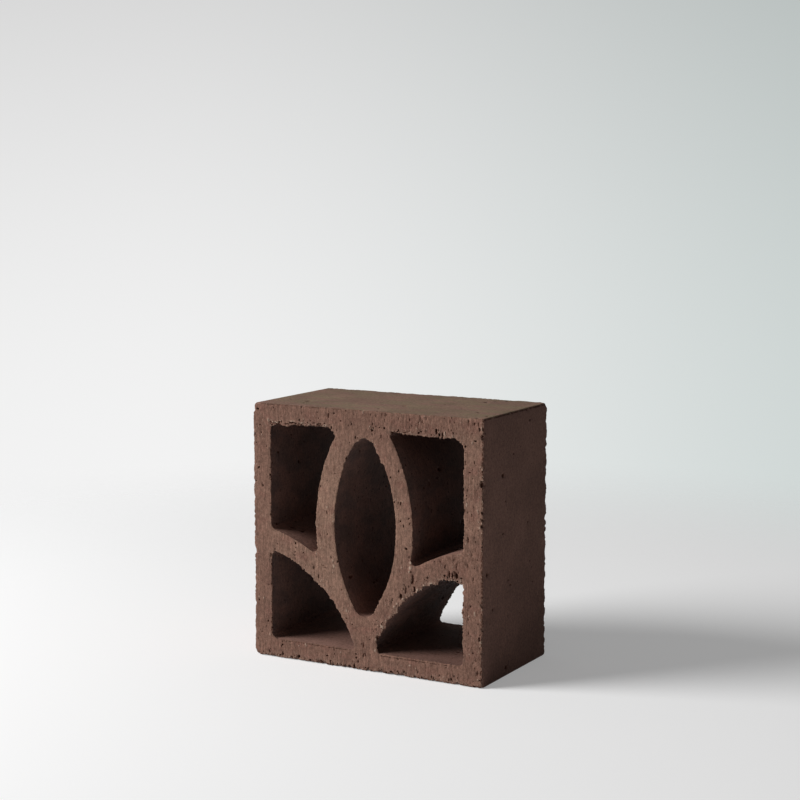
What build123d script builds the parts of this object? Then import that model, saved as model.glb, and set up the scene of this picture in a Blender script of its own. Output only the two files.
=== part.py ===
from build123d import *
from dataclasses import dataclass
import os

# Pierced screen block of fired clay, in millimetres. X runs across the face, Z up.
# The clay left the die along Y, and a wire cut the front and back faces to length.
block_width = 200
block_height = 200
block_depth = 110
long_edge_radius = 2.5

# Walls round the pattern
side_wall = 16
top_wall = 15.5
bottom_wall = 15

# Leaf: two equal arcs that would meet in a point above and below, each point rounded
leaf_half_width = 26.75
leaf_point_below_top = 12.2
leaf_point_above_base = 33.2
leaf_top_radius = 12
leaf_bottom_radius = 11

# Ribs that wrap the leaf, the right one a little thinner
left_leaf_rib = 16
right_leaf_rib = 14.5

# Arches: each rises from a foot on the bottom wall, beside the middle, to a side wall
arch_radius = 107
arch_rib = 16
left_foot_from_middle = 8.4
right_foot_from_middle = 5.5
left_spring_above_base = 85.8
right_spring_above_base = 84

# Corner radii: crisp, usual and easy ones, and the one that the clay filled in
crisp_radius = 2.5
usual_radius = 4
easy_radius = 5.5
filled_radius = 10

# The window is the space inside the four walls
window_half_width = block_width / 2 - side_wall
window_height = block_height - top_wall - bottom_wall

# Each leaf arc is set by its chord and its bulge, and its centre lies past the other arc
leaf_half_length = (block_height - leaf_point_below_top - leaf_point_above_base) / 2
leaf_middle = leaf_point_above_base + leaf_half_length
leaf_arc_radius = (leaf_half_length**2 + leaf_half_width**2) / (2 * leaf_half_width)
leaf_arc_reach = leaf_arc_radius - leaf_half_width


@dataclass
class Side:
    """The pattern to one side of the leaf, with the corner radii of its two openings.

    The corners by the side wall come first, then those by the leaf, each from below.
    """

    direction: int
    leaf_rib: float
    foot: float
    spring: float
    upper_corners: tuple
    lower_corners: tuple


left = Side(
    direction=-1,
    leaf_rib=left_leaf_rib,
    foot=left_foot_from_middle,
    spring=left_spring_above_base,
    upper_corners=(easy_radius, crisp_radius, usual_radius, easy_radius),
    lower_corners=(easy_radius, usual_radius, crisp_radius),
)
right = Side(
    direction=1,
    leaf_rib=right_leaf_rib,
    foot=right_foot_from_middle,
    spring=right_spring_above_base,
    upper_corners=(usual_radius, filled_radius, usual_radius, crisp_radius),
    lower_corners=(usual_radius, crisp_radius, crisp_radius),
)


def round_corners(direction, radii):
    """Round the open sketch's corners: by the side wall, then by the leaf, each from below."""
    across = vertices().group_by(Axis.X)
    by_wall = across[-1] if direction > 0 else across[0]
    by_leaf = vertices() - by_wall
    corners = by_wall.sort_by(Axis.Y) + by_leaf.sort_by(Axis.Y)
    for corner, radius in zip(corners, radii):
        fillet(vertices().sort_by_distance(corner)[0], radius=radius)


with BuildPart() as screen_block:
    # Outer column of clay
    with BuildSketch(Plane.XZ):
        Rectangle(block_width, block_height, align=(Align.CENTER, Align.MIN))
        fillet(vertices(), radius=long_edge_radius)
    extrude(amount=block_depth / 2, both=True)

    # Leaf opening
    with BuildSketch(Plane.XZ):
        with BuildLine():
            point_below = (0, leaf_point_above_base)
            point_above = (0, block_height - leaf_point_below_top)
            SagittaArc(point_below, point_above, leaf_half_width)
            mirror(about=Plane.YZ)
        make_face()
        fillet(vertices().sort_by(Axis.Y)[0], radius=leaf_bottom_radius)
        fillet(vertices().sort_by(Axis.Y)[-1], radius=leaf_top_radius)

    for side in (left, right):
        wall = side.direction * window_half_width
        foot = (side.direction * side.foot, bottom_wall)
        spring = (wall, side.spring)

        # Lower opening: floor, side wall and the arch over them
        with BuildSketch(Plane.XZ):
            with BuildLine():
                Polyline(foot, (wall, bottom_wall), spring)
                arch = RadiusArc(spring, foot, -side.direction * arch_radius)
            make_face()
            round_corners(side.direction, side.lower_corners)

        # Upper opening: half the window, less the leaf and its rib and the arch and its rib
        with BuildSketch(Plane.XZ):
            with Locations((wall / 2, bottom_wall)):
                Rectangle(window_half_width, window_height, align=(Align.CENTER, Align.MIN))
            with Locations((-side.direction * leaf_arc_reach, leaf_middle)):
                Circle(leaf_arc_radius + side.leaf_rib, mode=Mode.SUBTRACT)
            with Locations(arch.arc_center):
                Circle(arch_radius + arch_rib, mode=Mode.SUBTRACT)
            round_corners(side.direction, side.upper_corners)

    extrude(amount=block_depth / 2, both=True, mode=Mode.SUBTRACT)

screen_block.part.label = "screen_block"
os.makedirs("parts", exist_ok=True)
export_step(screen_block.part, "parts/screen_block.step")
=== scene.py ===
"""A fired clay screen block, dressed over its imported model: drag marks, torn lips, pits and worn edges."""

import logging
import math
from dataclasses import dataclass, field
from enum import Enum

import bpy
import numpy as np
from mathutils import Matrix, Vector
from mathutils.geometry import delaunay_2d_cdt
from mathutils.kdtree import KDTree


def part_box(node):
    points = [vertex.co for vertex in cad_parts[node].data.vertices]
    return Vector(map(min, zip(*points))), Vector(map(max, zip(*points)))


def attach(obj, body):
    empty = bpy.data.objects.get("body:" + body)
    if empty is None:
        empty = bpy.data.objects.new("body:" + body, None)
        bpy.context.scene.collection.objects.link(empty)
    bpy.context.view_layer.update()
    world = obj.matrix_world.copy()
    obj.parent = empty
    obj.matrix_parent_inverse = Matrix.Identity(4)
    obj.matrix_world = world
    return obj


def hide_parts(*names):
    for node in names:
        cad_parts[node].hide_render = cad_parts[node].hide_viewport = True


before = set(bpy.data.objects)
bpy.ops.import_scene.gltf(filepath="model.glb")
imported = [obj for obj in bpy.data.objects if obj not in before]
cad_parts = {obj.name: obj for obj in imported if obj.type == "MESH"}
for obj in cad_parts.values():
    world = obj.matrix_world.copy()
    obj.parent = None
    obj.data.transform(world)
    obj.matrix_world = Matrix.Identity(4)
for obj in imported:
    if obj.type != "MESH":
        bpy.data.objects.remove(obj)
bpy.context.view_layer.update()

log = logging.getLogger("screen_block")

MM = 0.001
BLOCK_NODE = "screen_block"
PIECE = "clay_block"

# Bends tighter than this, for each metre, hold a move back, to this share of their radius
TIGHT_BEND = 20.0
BEND_SHARE = 0.5

# How far the layers of one grain lie apart in its lattice, and a noise's shift along x, y and z
LAYER_GAP = 17.3
NOISE_SHIFTS = (1.0, 1.7, 2.3)

# The rings of points that hold a scar: their share of its size, and how many points each has
SCAR_RINGS = ((0.6, 6), (1.05, 10))

# For the triangulation: fill the whole face, and take spots this near each other for one
FILL_ALL = 1
SAME_SPOT = 1e-7

# Turns the two numbers of an edge's points into one
EDGE_KEY = np.array([1 << 24, 1])

# The rows of a wall at the front and back cuts
ENDS = (0, -1)

Triple = tuple[float, float, float]
Row = tuple[float, float, float, float]


class Cut(Enum):
    """The two faces that the wire left, by the way that each one looks along Y."""

    FRONT = -1
    BACK = 1


class Kind(Enum):
    """The marks on a cut face, by how deep each goes for the lesser of its width and height."""

    PIT = 0.8
    CREASE = 0.55
    CRUMB = -0.4


class Edge(Enum):
    """The outlines of the block's section."""

    OUTSIDE = "outside"
    LEAF = "leaf"
    UPPER_LEFT = "upper_left"
    UPPER_RIGHT = "upper_right"
    LOWER_LEFT = "lower_left"
    LOWER_RIGHT = "lower_right"


ROUGHNESS = {
    Edge.OUTSIDE: 1.0,
    Edge.LEAF: 0.6,
    Edge.UPPER_LEFT: 0.9,
    Edge.UPPER_RIGHT: 1.0,
    Edge.LOWER_LEFT: 0.9,
    Edge.LOWER_RIGHT: 1.15,
}


def smoothstep(low: float, high: float, value: np.ndarray) -> np.ndarray:
    """Ease from 0 at low to 1 at high.

    Args:
        low: Where the rise starts.
        high: Where the rise ends.
        value: The values to ease.

    Returns:
        The eased values, between 0 and 1.
    """
    t = np.clip((value - low) / (high - low), 0.0, 1.0)
    return t * t * (3.0 - 2.0 * t)


@dataclass(frozen=True)
class Fade:
    """A share that eases from bottom to top while something else goes from low to high."""

    low: float
    high: float
    bottom: float = 0.0
    top: float = 1.0

    def of(self, value: np.ndarray) -> np.ndarray:
        """Return the share at some values."""
        return self.bottom + (self.top - self.bottom) * smoothstep(self.low, self.high, value)


@dataclass(frozen=True)
class Layer:
    """A layer of relief: the size of its grains along x, y and z, in metres, and how strong it is.

    The shift sets it apart from the other layers that read the same grain. Each octave after the first
    adds grains half the size and strength of the last.
    """

    size: Triple
    shift: float = 0.0
    octaves: int = 1
    strength: float = 1.0


@dataclass(frozen=True)
class Grain:
    """Smooth random relief in space, read from a seeded lattice that repeats far apart."""

    seed: int
    cells: int = 64

    def lattice(self) -> np.ndarray:
        """Return the lattice's random values, between -1 and 1."""
        return np.random.default_rng(self.seed).uniform(-1.0, 1.0, (self.cells,) * 3)

    def at(self, points: np.ndarray, layer: Layer) -> np.ndarray:
        """Read a layer at some points, before its strength.

        Args:
            points: Rows of x, y, z in metres.
            layer: The layer.

        Returns:
            One value for each point, about -1 to 1.
        """
        values = self.lattice()
        total = np.zeros(len(points))
        reach = 0.0
        for octave in range(layer.octaves):
            scaled = (points + layer.shift) / np.array(layer.size) * 2.0**octave + LAYER_GAP * octave
            low = np.floor(scaled).astype(int)
            t = scaled - low
            t = t * t * (3.0 - 2.0 * t)
            here = np.zeros(len(points))
            for corner in np.ndindex(2, 2, 2):
                weight = np.prod(np.where(np.array(corner) == 1, t, 1.0 - t), axis=1)
                i, j, k = ((low + np.array(corner)) % self.cells).T
                here += weight * values[i, j, k]
            total += here * 0.5**octave
            reach += 0.5**octave
        return total / reach


@dataclass(frozen=True)
class Rail:
    """One side of an outline: a straight wall, or a round rib, with its space on the left of the way round.

    A wall has a point and a heading. A rib has a centre and a radius, and its space lies outside the
    circle where clay fills the circle.
    """

    point: tuple[float, float]
    heading: tuple[float, float] = (0.0, 0.0)
    radius: float = 0.0
    clay_inside: bool = False

    def moved(self, distance: float) -> "Rail":
        """Move the rail into its space.

        Args:
            distance: How far.

        Returns:
            The moved rail.
        """
        if self.radius:
            grown = self.radius + (distance if self.clay_inside else -distance)
            return Rail(self.point, radius=grown, clay_inside=self.clay_inside)
        left = np.array([-self.heading[1], self.heading[0]])
        shifted = np.array(self.point) + left * distance
        return Rail((shifted[0], shifted[1]), self.heading)

    def foot(self, point: np.ndarray) -> np.ndarray:
        """Find where the rail comes nearest to a point.

        Args:
            point: The point.

        Returns:
            The nearest point of the rail.
        """
        start = np.array(self.point)
        if self.radius:
            away = point - start
            return start + away / np.linalg.norm(away) * self.radius
        along = np.array(self.heading)
        return start + along * np.dot(point - start, along)

    def meets(self, other: "Rail", near: np.ndarray) -> np.ndarray:
        """Find where two rails cross.

        Args:
            other: The next rail round the outline.
            near: A point near the crossing that is wanted.

        Returns:
            The crossing nearest to that point.
        """
        if self.radius and other.radius:
            a, b = np.array(self.point), np.array(other.point)
            span = np.linalg.norm(b - a)
            along = (self.radius**2 - other.radius**2 + span**2) / (2.0 * span)
            across = math.sqrt(max(self.radius**2 - along**2, 0.0))
            way = (b - a) / span
            side = np.array([-way[1], way[0]])
            found = [a + way * along + side * across * s for s in (-1.0, 1.0)]
        elif self.radius or other.radius:
            rib, wall = (self, other) if self.radius else (other, self)
            foot = wall.foot(np.array(rib.point))
            drop = np.linalg.norm(foot - np.array(rib.point))
            across = math.sqrt(max(rib.radius**2 - drop**2, 0.0))
            found = [foot + np.array(wall.heading) * across * s for s in (-1.0, 1.0)]
        else:
            matrix = np.array([self.heading, [-c for c in other.heading]]).T
            t = np.linalg.solve(matrix, np.array(other.point) - np.array(self.point))
            found = [np.array(self.point) + np.array(self.heading) * t[0]]
        return min(found, key=lambda p: np.linalg.norm(p - near))

    def run(self, start: np.ndarray, end: np.ndarray, step: float) -> np.ndarray:
        """Place points along the rail, the short way.

        Args:
            start: The first point.
            end: The point after the last.
            step: The distance between points.

        Returns:
            The points, with the start and without the end.
        """
        if not self.radius:
            count = max(int(np.linalg.norm(end - start) / step), 1)
            share = np.arange(count)[:, None] / count
            return start + (end - start) * share
        return arc_points(np.array(self.point), self.radius, start, end, step)


def arc_points(
    centre: np.ndarray, radius: float, start: np.ndarray, end: np.ndarray, step: float
) -> np.ndarray:
    """Place points along an arc, the short way round.

    Args:
        centre: The arc's centre.
        radius: The arc's radius.
        start: The first point.
        end: The point after the last.
        step: The distance between points.

    Returns:
        The points, with the start and without the end.
    """
    first = math.atan2(*(start - centre)[::-1])
    turn = math.atan2(*(end - centre)[::-1]) - first
    turn = (turn + math.pi) % (2.0 * math.pi) - math.pi
    count = max(int(abs(turn) * radius / step), 1)
    angles = first + turn * np.arange(count) / count
    return centre + radius * np.stack([np.cos(angles), np.sin(angles)], axis=1)


def closed_outline(
    rails: list[Rail], corners: list[tuple[tuple[float, float], float]], step: float
) -> np.ndarray:
    """Join rails into a closed outline with rounded corners, evenly spaced.

    Args:
        rails: The sides in their order round the outline.
        corners: For each rail, a point near its crossing with the next one, and the corner's radius.
        step: The distance between points.

    Returns:
        The outline's points, as rows of x and z.
    """
    rounds = []
    for number, (near, radius) in enumerate(corners):
        here, after = rails[number], rails[(number + 1) % len(rails)]
        centre = here.moved(radius).meets(after.moved(radius), np.array(near))
        rounds.append((here.foot(centre), centre, after.foot(centre), radius))
    pieces = []
    fine = step / 8.0
    for number, rail in enumerate(rails):
        leave, centre, arrive, radius = rounds[number]
        pieces.append(rail.run(rounds[number - 1][2], leave, fine))
        pieces.append(arc_points(centre, radius, leave, arrive, fine))
    return respaced(np.concatenate(pieces), step)


def respaced(points: np.ndarray, step: float) -> np.ndarray:
    """Spread a closed outline's points evenly.

    Args:
        points: The outline's points.
        step: About how far apart they come to lie.

    Returns:
        The new points.
    """
    ring = np.vstack([points, points[:1]])
    lengths = np.concatenate([[0.0], np.cumsum(np.linalg.norm(np.diff(ring, axis=0), axis=1))])
    count = max(int(round(lengths[-1] / step)), 3)
    where = np.arange(count) / count * lengths[-1]
    return np.stack([np.interp(where, lengths, ring[:, k]) for k in range(2)], axis=1)


@dataclass
class Section:
    """The block's section across its openings: four walls, a leaf in its ribs, and two arches."""

    width: float = 200 * MM
    height: float = 200 * MM
    long_edge_radii: tuple[float, float, float, float] = (1.2 * MM, 1.2 * MM, 3 * MM, 3 * MM)
    side_wall: float = 16 * MM
    top_wall: float = 15.5 * MM
    bottom_wall: float = 15 * MM
    leaf_half_width: float = 26.75 * MM
    leaf_point_below_top: float = 12.2 * MM
    leaf_point_above_base: float = 33.2 * MM
    leaf_top_radius: float = 12 * MM
    leaf_bottom_radius: float = 11 * MM
    leaf_ribs: tuple[float, float] = (16 * MM, 14.5 * MM)
    arch_radius: float = 107 * MM
    arch_rib: float = 16 * MM
    feet: tuple[float, float] = (8.4 * MM, 5.5 * MM)
    springs: tuple[float, float] = (85.8 * MM, 84 * MM)
    crisp: float = 2.5 * MM
    usual: float = 4 * MM
    easy: float = 5.5 * MM
    filled: float = 10 * MM

    def leaf_arc(self) -> tuple[float, float, float]:
        """Work out the leaf's two arcs.

        Returns:
            Their radius, how far each centre lies from the middle, and the centres' height.
        """
        half = (self.height - self.leaf_point_below_top - self.leaf_point_above_base) / 2.0
        radius = (half**2 + self.leaf_half_width**2) / (2.0 * self.leaf_half_width)
        return radius, radius - self.leaf_half_width, self.leaf_point_above_base + half

    def outside(self, step: float) -> np.ndarray:
        """Draw the outside, counter-clockwise, with the clay on its left.

        Args:
            step: The distance between points.

        Returns:
            The outline's points.
        """
        w, h = self.width / 2.0, self.height
        rails = [Rail((0, 0), (1, 0)), Rail((w, 0), (0, 1)), Rail((0, h), (-1, 0)), Rail((-w, 0), (0, -1))]
        near = [(w, 0), (w, h), (-w, h), (-w, 0)]
        return closed_outline(rails, list(zip(near, self.long_edge_radii)), step)

    def leaf(self, step: float) -> np.ndarray:
        """Draw the leaf, counter-clockwise.

        Args:
            step: The distance between points.

        Returns:
            The outline's points.
        """
        radius, reach, middle = self.leaf_arc()
        right, left = Rail((-reach, middle), radius=radius), Rail((reach, middle), radius=radius)
        corners = [((0, self.height), self.leaf_top_radius), ((0, 0), self.leaf_bottom_radius)]
        return closed_outline([right, left], corners, step)

    def arch_centre(self, side: int) -> tuple[float, float]:
        """Find an arch's centre.

        Args:
            side: 0 for the left arch, 1 for the right one.

        Returns:
            The centre, for the right arch as it is when mirrored to the left.
        """
        foot = np.array([-self.feet[side], self.bottom_wall])
        spring = np.array([self.side_wall - self.width / 2.0, self.springs[side]])
        middle, chord = (foot + spring) / 2.0, foot - spring
        length = np.linalg.norm(chord)
        inward = np.array([chord[1], -chord[0]]) / length
        centre = middle + inward * math.sqrt(self.arch_radius**2 - length**2 / 4.0)
        return float(centre[0]), float(centre[1])

    def upper(self, side: int, step: float) -> np.ndarray:
        """Draw an upper opening, counter-clockwise.

        Args:
            side: 0 for the left one, 1 for the right one.
            step: The distance between points.

        Returns:
            The outline's points.
        """
        wall, top = self.side_wall - self.width / 2.0, self.height - self.top_wall
        leaf_radius, reach, middle = self.leaf_arc()
        arch = Rail(self.arch_centre(side), radius=self.arch_radius + self.arch_rib, clay_inside=True)
        leaf = Rail((reach, middle), radius=leaf_radius + self.leaf_ribs[side], clay_inside=True)
        rails = [Rail((wall, 0), (0, -1)), arch, leaf, Rail((0, top), (-1, 0))]
        radii = (
            (self.easy, self.usual, self.easy, self.crisp),
            (self.usual, self.usual, self.crisp, self.filled),
        )[side]
        slope = wall + leaf_radius / 3.0
        near = [(wall, self.height / 2.0), (slope, self.height / 2.0), (wall / 4.0, top), (wall, top)]
        return self.mirrored(closed_outline(rails, list(zip(near, radii)), step), side)

    def lower(self, side: int, step: float) -> np.ndarray:
        """Draw a lower opening, counter-clockwise.

        Args:
            side: 0 for the left one, 1 for the right one.
            step: The distance between points.

        Returns:
            The outline's points.
        """
        wall, floor = self.side_wall - self.width / 2.0, self.bottom_wall
        arch = Rail(self.arch_centre(side), radius=self.arch_radius)
        rails = [Rail((wall, 0), (0, -1)), Rail((0, floor), (1, 0)), arch]
        radii = ((self.easy, self.crisp, self.usual), (self.usual, self.crisp, self.crisp))[side]
        near = [(wall, floor), (-self.feet[side], floor), (wall, self.springs[side])]
        return self.mirrored(closed_outline(rails, list(zip(near, radii)), step), side)

    @staticmethod
    def mirrored(outline: np.ndarray, side: int) -> np.ndarray:
        """Return the outline as it is on the left, or turned over for the right, still counter-clockwise."""
        return outline if side == 0 else (outline * np.array([-1.0, 1.0]))[::-1]

    def outlines(self, step: float) -> dict[Edge, np.ndarray]:
        """Draw every outline of the section, each counter-clockwise.

        Args:
            step: The distance between points.

        Returns:
            The points of each outline.
        """
        return {
            Edge.OUTSIDE: self.outside(step),
            Edge.LEAF: self.leaf(step),
            Edge.UPPER_LEFT: self.upper(0, step),
            Edge.UPPER_RIGHT: self.upper(1, step),
            Edge.LOWER_LEFT: self.lower(0, step),
            Edge.LOWER_RIGHT: self.lower(1, step),
        }


@dataclass
class Ring:
    """An outline of the section, with the direction at each point that leads out of the clay.

    The bend says how much longer the outline grows for each metre that it moves out.
    """

    edge: Edge
    points: np.ndarray
    out: np.ndarray
    bend: np.ndarray

    @classmethod
    def around(cls, edge: Edge, points: np.ndarray) -> "Ring":
        """Work out the directions for an outline that runs counter-clockwise.

        Args:
            edge: Which outline it is.
            points: Its points.

        Returns:
            The outline with its directions.
        """
        span = np.roll(points, -1, axis=0) - np.roll(points, 1, axis=0)
        length = np.linalg.norm(span, axis=1, keepdims=True)
        ahead = span / length
        out = np.stack([-ahead[:, 1], ahead[:, 0]], axis=1)
        if edge is Edge.OUTSIDE:
            out = -out
        turn = (np.roll(out, -1, axis=0) - np.roll(out, 1, axis=0)) / length
        return cls(edge, points, out, np.sum(turn * ahead, axis=1))

    def held(self, move: np.ndarray) -> np.ndarray:
        """Hold a move short of where a bend would fold over.

        Args:
            move: How far each point moves along its direction.

        Returns:
            How far it may move.
        """
        tight = np.abs(self.bend) > TIGHT_BEND
        most = BEND_SHARE / np.maximum(np.abs(self.bend), TIGHT_BEND)
        held = np.where(self.bend < 0.0, np.minimum(move, most), np.maximum(move, -most))
        return np.where(tight, held, move)


@dataclass(frozen=True)
class Mark:
    """A place on a cut face, in millimetres from the block's left side and its base."""

    x: float
    z: float

    def place(self, width: float) -> np.ndarray:
        """Return the place in the section of a block of this width, in metres from its middle."""
        return np.array([self.x * MM - width / 2.0, self.z * MM])


@dataclass(frozen=True)
class Tear(Mark):
    """A lip that the wire pulled over an edge or, with a size below zero, a chip out of it.

    Its length along the edge and its size are in millimetres.
    """

    edge: Edge
    length: float
    size: float

    @classmethod
    def along(cls, edge: Edge, *rows: Row) -> tuple["Tear", ...]:
        """Make tears along one outline.

        Args:
            edge: The outline.
            rows: The place, length and size of each tear.

        Returns:
            The tears, in the same order.
        """
        return tuple(cls(x, z, edge, length, size) for x, z, length, size in rows)


@dataclass(frozen=True)
class Lip(Mark):
    """A flap of clay that fills a corner of an opening.

    The move says how far it hangs over, and the width and height how large it is, in millimetres.
    """

    edge: Edge
    move: tuple[float, float]
    width: float
    height: float

    def share(self, offsets: np.ndarray) -> np.ndarray:
        """Return how much of the move each point gets, by its offset from the corner."""
        return np.exp(-np.sum((offsets / (np.array([self.width, self.height]) * MM)) ** 2, axis=1))


@dataclass(frozen=True)
class Scar(Mark):
    """A pit in a cut face or a crumb that stands on it, with its width and height in millimetres."""

    kind: Kind
    width: float
    height: float

    @classmethod
    def group(cls, kind: Kind, *rows: Row) -> tuple["Scar", ...]:
        """Make scars of one kind.

        Args:
            kind: What the scars are.
            rows: The place, width and height of each scar.

        Returns:
            The scars, in the same order.
        """
        return tuple(cls(x, z, kind, width, height) for x, z, width, height in rows)

    @property
    def depth(self) -> float:
        """Return how deep the scar goes, in metres."""
        return self.kind.value * min(self.width, self.height) * MM

    def reach(self, offsets: np.ndarray) -> np.ndarray:
        """Return how far some offsets lie from the middle, where 1 is the scar's rim."""
        return np.hypot(*(offsets / (np.array([self.width, self.height]) * MM / 2.0)).T)

    def anchors(self) -> np.ndarray:
        """Place the points that a mesh needs to hold the scar.

        Returns:
            Offsets from the scar's middle: the middle itself, a ring inside the rim and one outside it.
        """
        found = [np.zeros((1, 2))]
        for share, count in SCAR_RINGS:
            turn = np.arange(count) / count * 2.0 * math.pi + share
            ring = np.stack([np.cos(turn) * self.width, np.sin(turn) * self.height], axis=1)
            found.append(ring * MM / 2.0 * share)
        return np.concatenate(found)


@dataclass(frozen=True)
class Patch(Mark):
    """A place thick with marks of one kind: the slots of a torn lip, crumbs along an edge, a row of pits."""

    kind: Kind
    width: float
    height: float
    count: int
    longest: float = 2.0
    level: bool = False
    sizes: tuple[float, float] = (0.35, 0.8)

    def scars(self, rng: np.random.Generator) -> list[Scar]:
        """Scatter the patch's marks, longer than they are wide.

        Args:
            rng: Where the random numbers come from.

        Returns:
            The marks, upright or level.
        """
        spots = rng.uniform(-0.5, 0.5, (self.count, 2)) * (self.width, self.height) + (self.x, self.z)
        sizes = rng.uniform(*self.sizes, self.count)
        shapes = np.stack([sizes, sizes * rng.uniform(1.0, self.longest, self.count)], axis=1)
        if self.level:
            shapes = shapes[:, ::-1]
        return [Scar(x, z, self.kind, width, height) for (x, z), (width, height) in zip(spots, shapes)]


@dataclass(frozen=True)
class Wear:
    """The marks that are known on one cut face."""

    tears: tuple[Tear, ...] = ()
    lips: tuple[Lip, ...] = ()
    scars: tuple[Scar, ...] = ()
    patches: tuple[Patch, ...] = ()


@dataclass
class Pull:
    """What the wire did to an outline: where it moved each point, and how deep below the cut that reaches."""

    move: np.ndarray
    reach: np.ndarray

    def at(self, depth: np.ndarray) -> np.ndarray:
        """Return the moves at some depths below the cut, one row of points for each depth."""
        share = 1.0 - smoothstep(0.0, 1.0, depth[:, None] / self.reach[None, :])
        return self.move[None] * share[..., None]


@dataclass
class Sheet:
    """A triangulated cut face: spots of the section, how deep each lies, and its marks."""

    spots: np.ndarray
    sink: np.ndarray
    triangles: np.ndarray
    # pit: each spot's share of painted shade in its pit or crease
    pit: np.ndarray
    crumb: np.ndarray
    frayed: np.ndarray


def nearest(spots: np.ndarray, targets: np.ndarray) -> tuple[np.ndarray, np.ndarray]:
    """Find the target nearest to each spot.

    Args:
        spots: Rows of two coordinates.
        targets: Rows of two coordinates.

    Returns:
        The targets' numbers and their distances.
    """
    tree = KDTree(len(targets))
    for number, (x, z) in enumerate(targets):
        tree.insert((x, z, 0.0), number)
    tree.balance()
    found = [tree.find((x, z, 0.0)) for x, z in spots]
    return np.array([f[1] for f in found]), np.array([f[2] for f in found])


@dataclass
class Nearness:
    """Tells how near a spot lies to the torn outlines, how ragged they are there, and whether it is clay."""

    rim: np.ndarray
    out: np.ndarray
    ragged: np.ndarray

    def of(self, spots: np.ndarray) -> tuple[np.ndarray, np.ndarray, np.ndarray]:
        """Look up some spots of the section.

        Args:
            spots: Rows of x and z.

        Returns:
            The distances, the raggedness, and which spots lie in the clay.
        """
        number, distance = nearest(spots, self.rim)
        lean = np.sum((spots - self.rim[number]) * self.out[number], axis=1)
        return distance, self.ragged[number], lean < 0.0


@dataclass(frozen=True)
class Strays:
    """Marks of one kind that may lie anywhere on a cut face, thickest by its ragged edges.

    The sizes are in millimetres, and the shortest and longest say how many times its width a mark is
    long. The last five say how likely a spot is to get one: anywhere, by an edge, and how far in that
    goes, on the right, and low down.
    """

    kind: Kind
    count: int
    longest: float
    shortest: float = 1.1
    size: float = 0.45
    spread: float = 0.4
    largest: float = 1.5
    tries: int = 12
    anywhere: float = 0.04
    by_edge: float = 0.5
    edge_reach: float = 3.0 * MM
    on_right: Fade = Fade(-0.2, 0.9, 0.0, 0.08)
    low_down: Fade = Fade(0.2, 0.0, 0.0, 0.08)

    def scars(self, rng: np.random.Generator, gap: Nearness, width: float, height: float) -> list[Scar]:
        """Scatter the marks.

        Args:
            rng: Where the random numbers come from.
            gap: What lies near each spot.
            width: The face's width.
            height: The face's height.

        Returns:
            The marks that found a place in the clay.
        """
        tries = self.count * self.tries
        half = width / 2.0
        spots = rng.uniform((-half, 0.0), (half, height), (tries, 2))
        size = np.minimum(rng.lognormal(math.log(self.size), self.spread, tries), self.largest)
        long = rng.uniform(self.shortest, self.longest, tries)
        chance = rng.uniform(0.0, 1.0, tries)
        distance, ragged, inside = gap.of(spots)
        wanted = self.anywhere + self.by_edge * ragged * np.exp(-distance / self.edge_reach)
        wanted = wanted + self.on_right.of(spots[:, 0] / half) + self.low_down.of(spots[:, 1] / height)
        keep = inside & (distance > 0.5 * size * MM) & (chance < wanted)
        found = []
        for number in np.flatnonzero(keep)[: self.count]:
            x, z = (spots[number] + (half, 0.0)) / MM
            found.append(Scar(x, z, self.kind, size[number], size[number] * long[number]))
        return found


@dataclass(frozen=True)
class Nicks:
    """What the wire breaks out of the outside's edges, in millimetres: a little all along, nicks and gaps."""

    all_along: float = 0.1
    nick: float = 1.1
    gap: float = 2.6
    gap_from: float = 0.12

    def size(self, nibble: np.ndarray, bite: np.ndarray) -> np.ndarray:
        """Return how far each point moves out, by the fine grain and the coarser one."""
        nicks = self.all_along + self.nick * np.abs(nibble)
        return -(nicks + self.gap * np.clip(bite - self.gap_from, 0.0, None))


@dataclass(frozen=True)
class Fringe:
    """What the wire pulls over the openings' edges, in millimetres: an uneven line, and lips where ragged."""

    wander: float = 0.3
    nibble: float = 0.8
    bite: float = 0.4
    lip: float = 1.3
    lip_nibble: float = 1.2
    lip_from: float = 0.1

    def size(self, grains: tuple[np.ndarray, ...], rough: np.ndarray) -> np.ndarray:
        """Work out the fringe.

        Args:
            grains: The slow, the fine and the middle grain at each point of the outline.
            rough: How ragged the outline is there.

        Returns:
            How far each point moves out of the clay.
        """
        wander, nibble, bite = grains
        lips = np.clip(wander + self.lip_from, 0.0, None) * (self.lip + self.lip_nibble * nibble)
        return self.wander * wander + self.nibble * nibble + self.bite * bite + rough * lips


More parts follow.
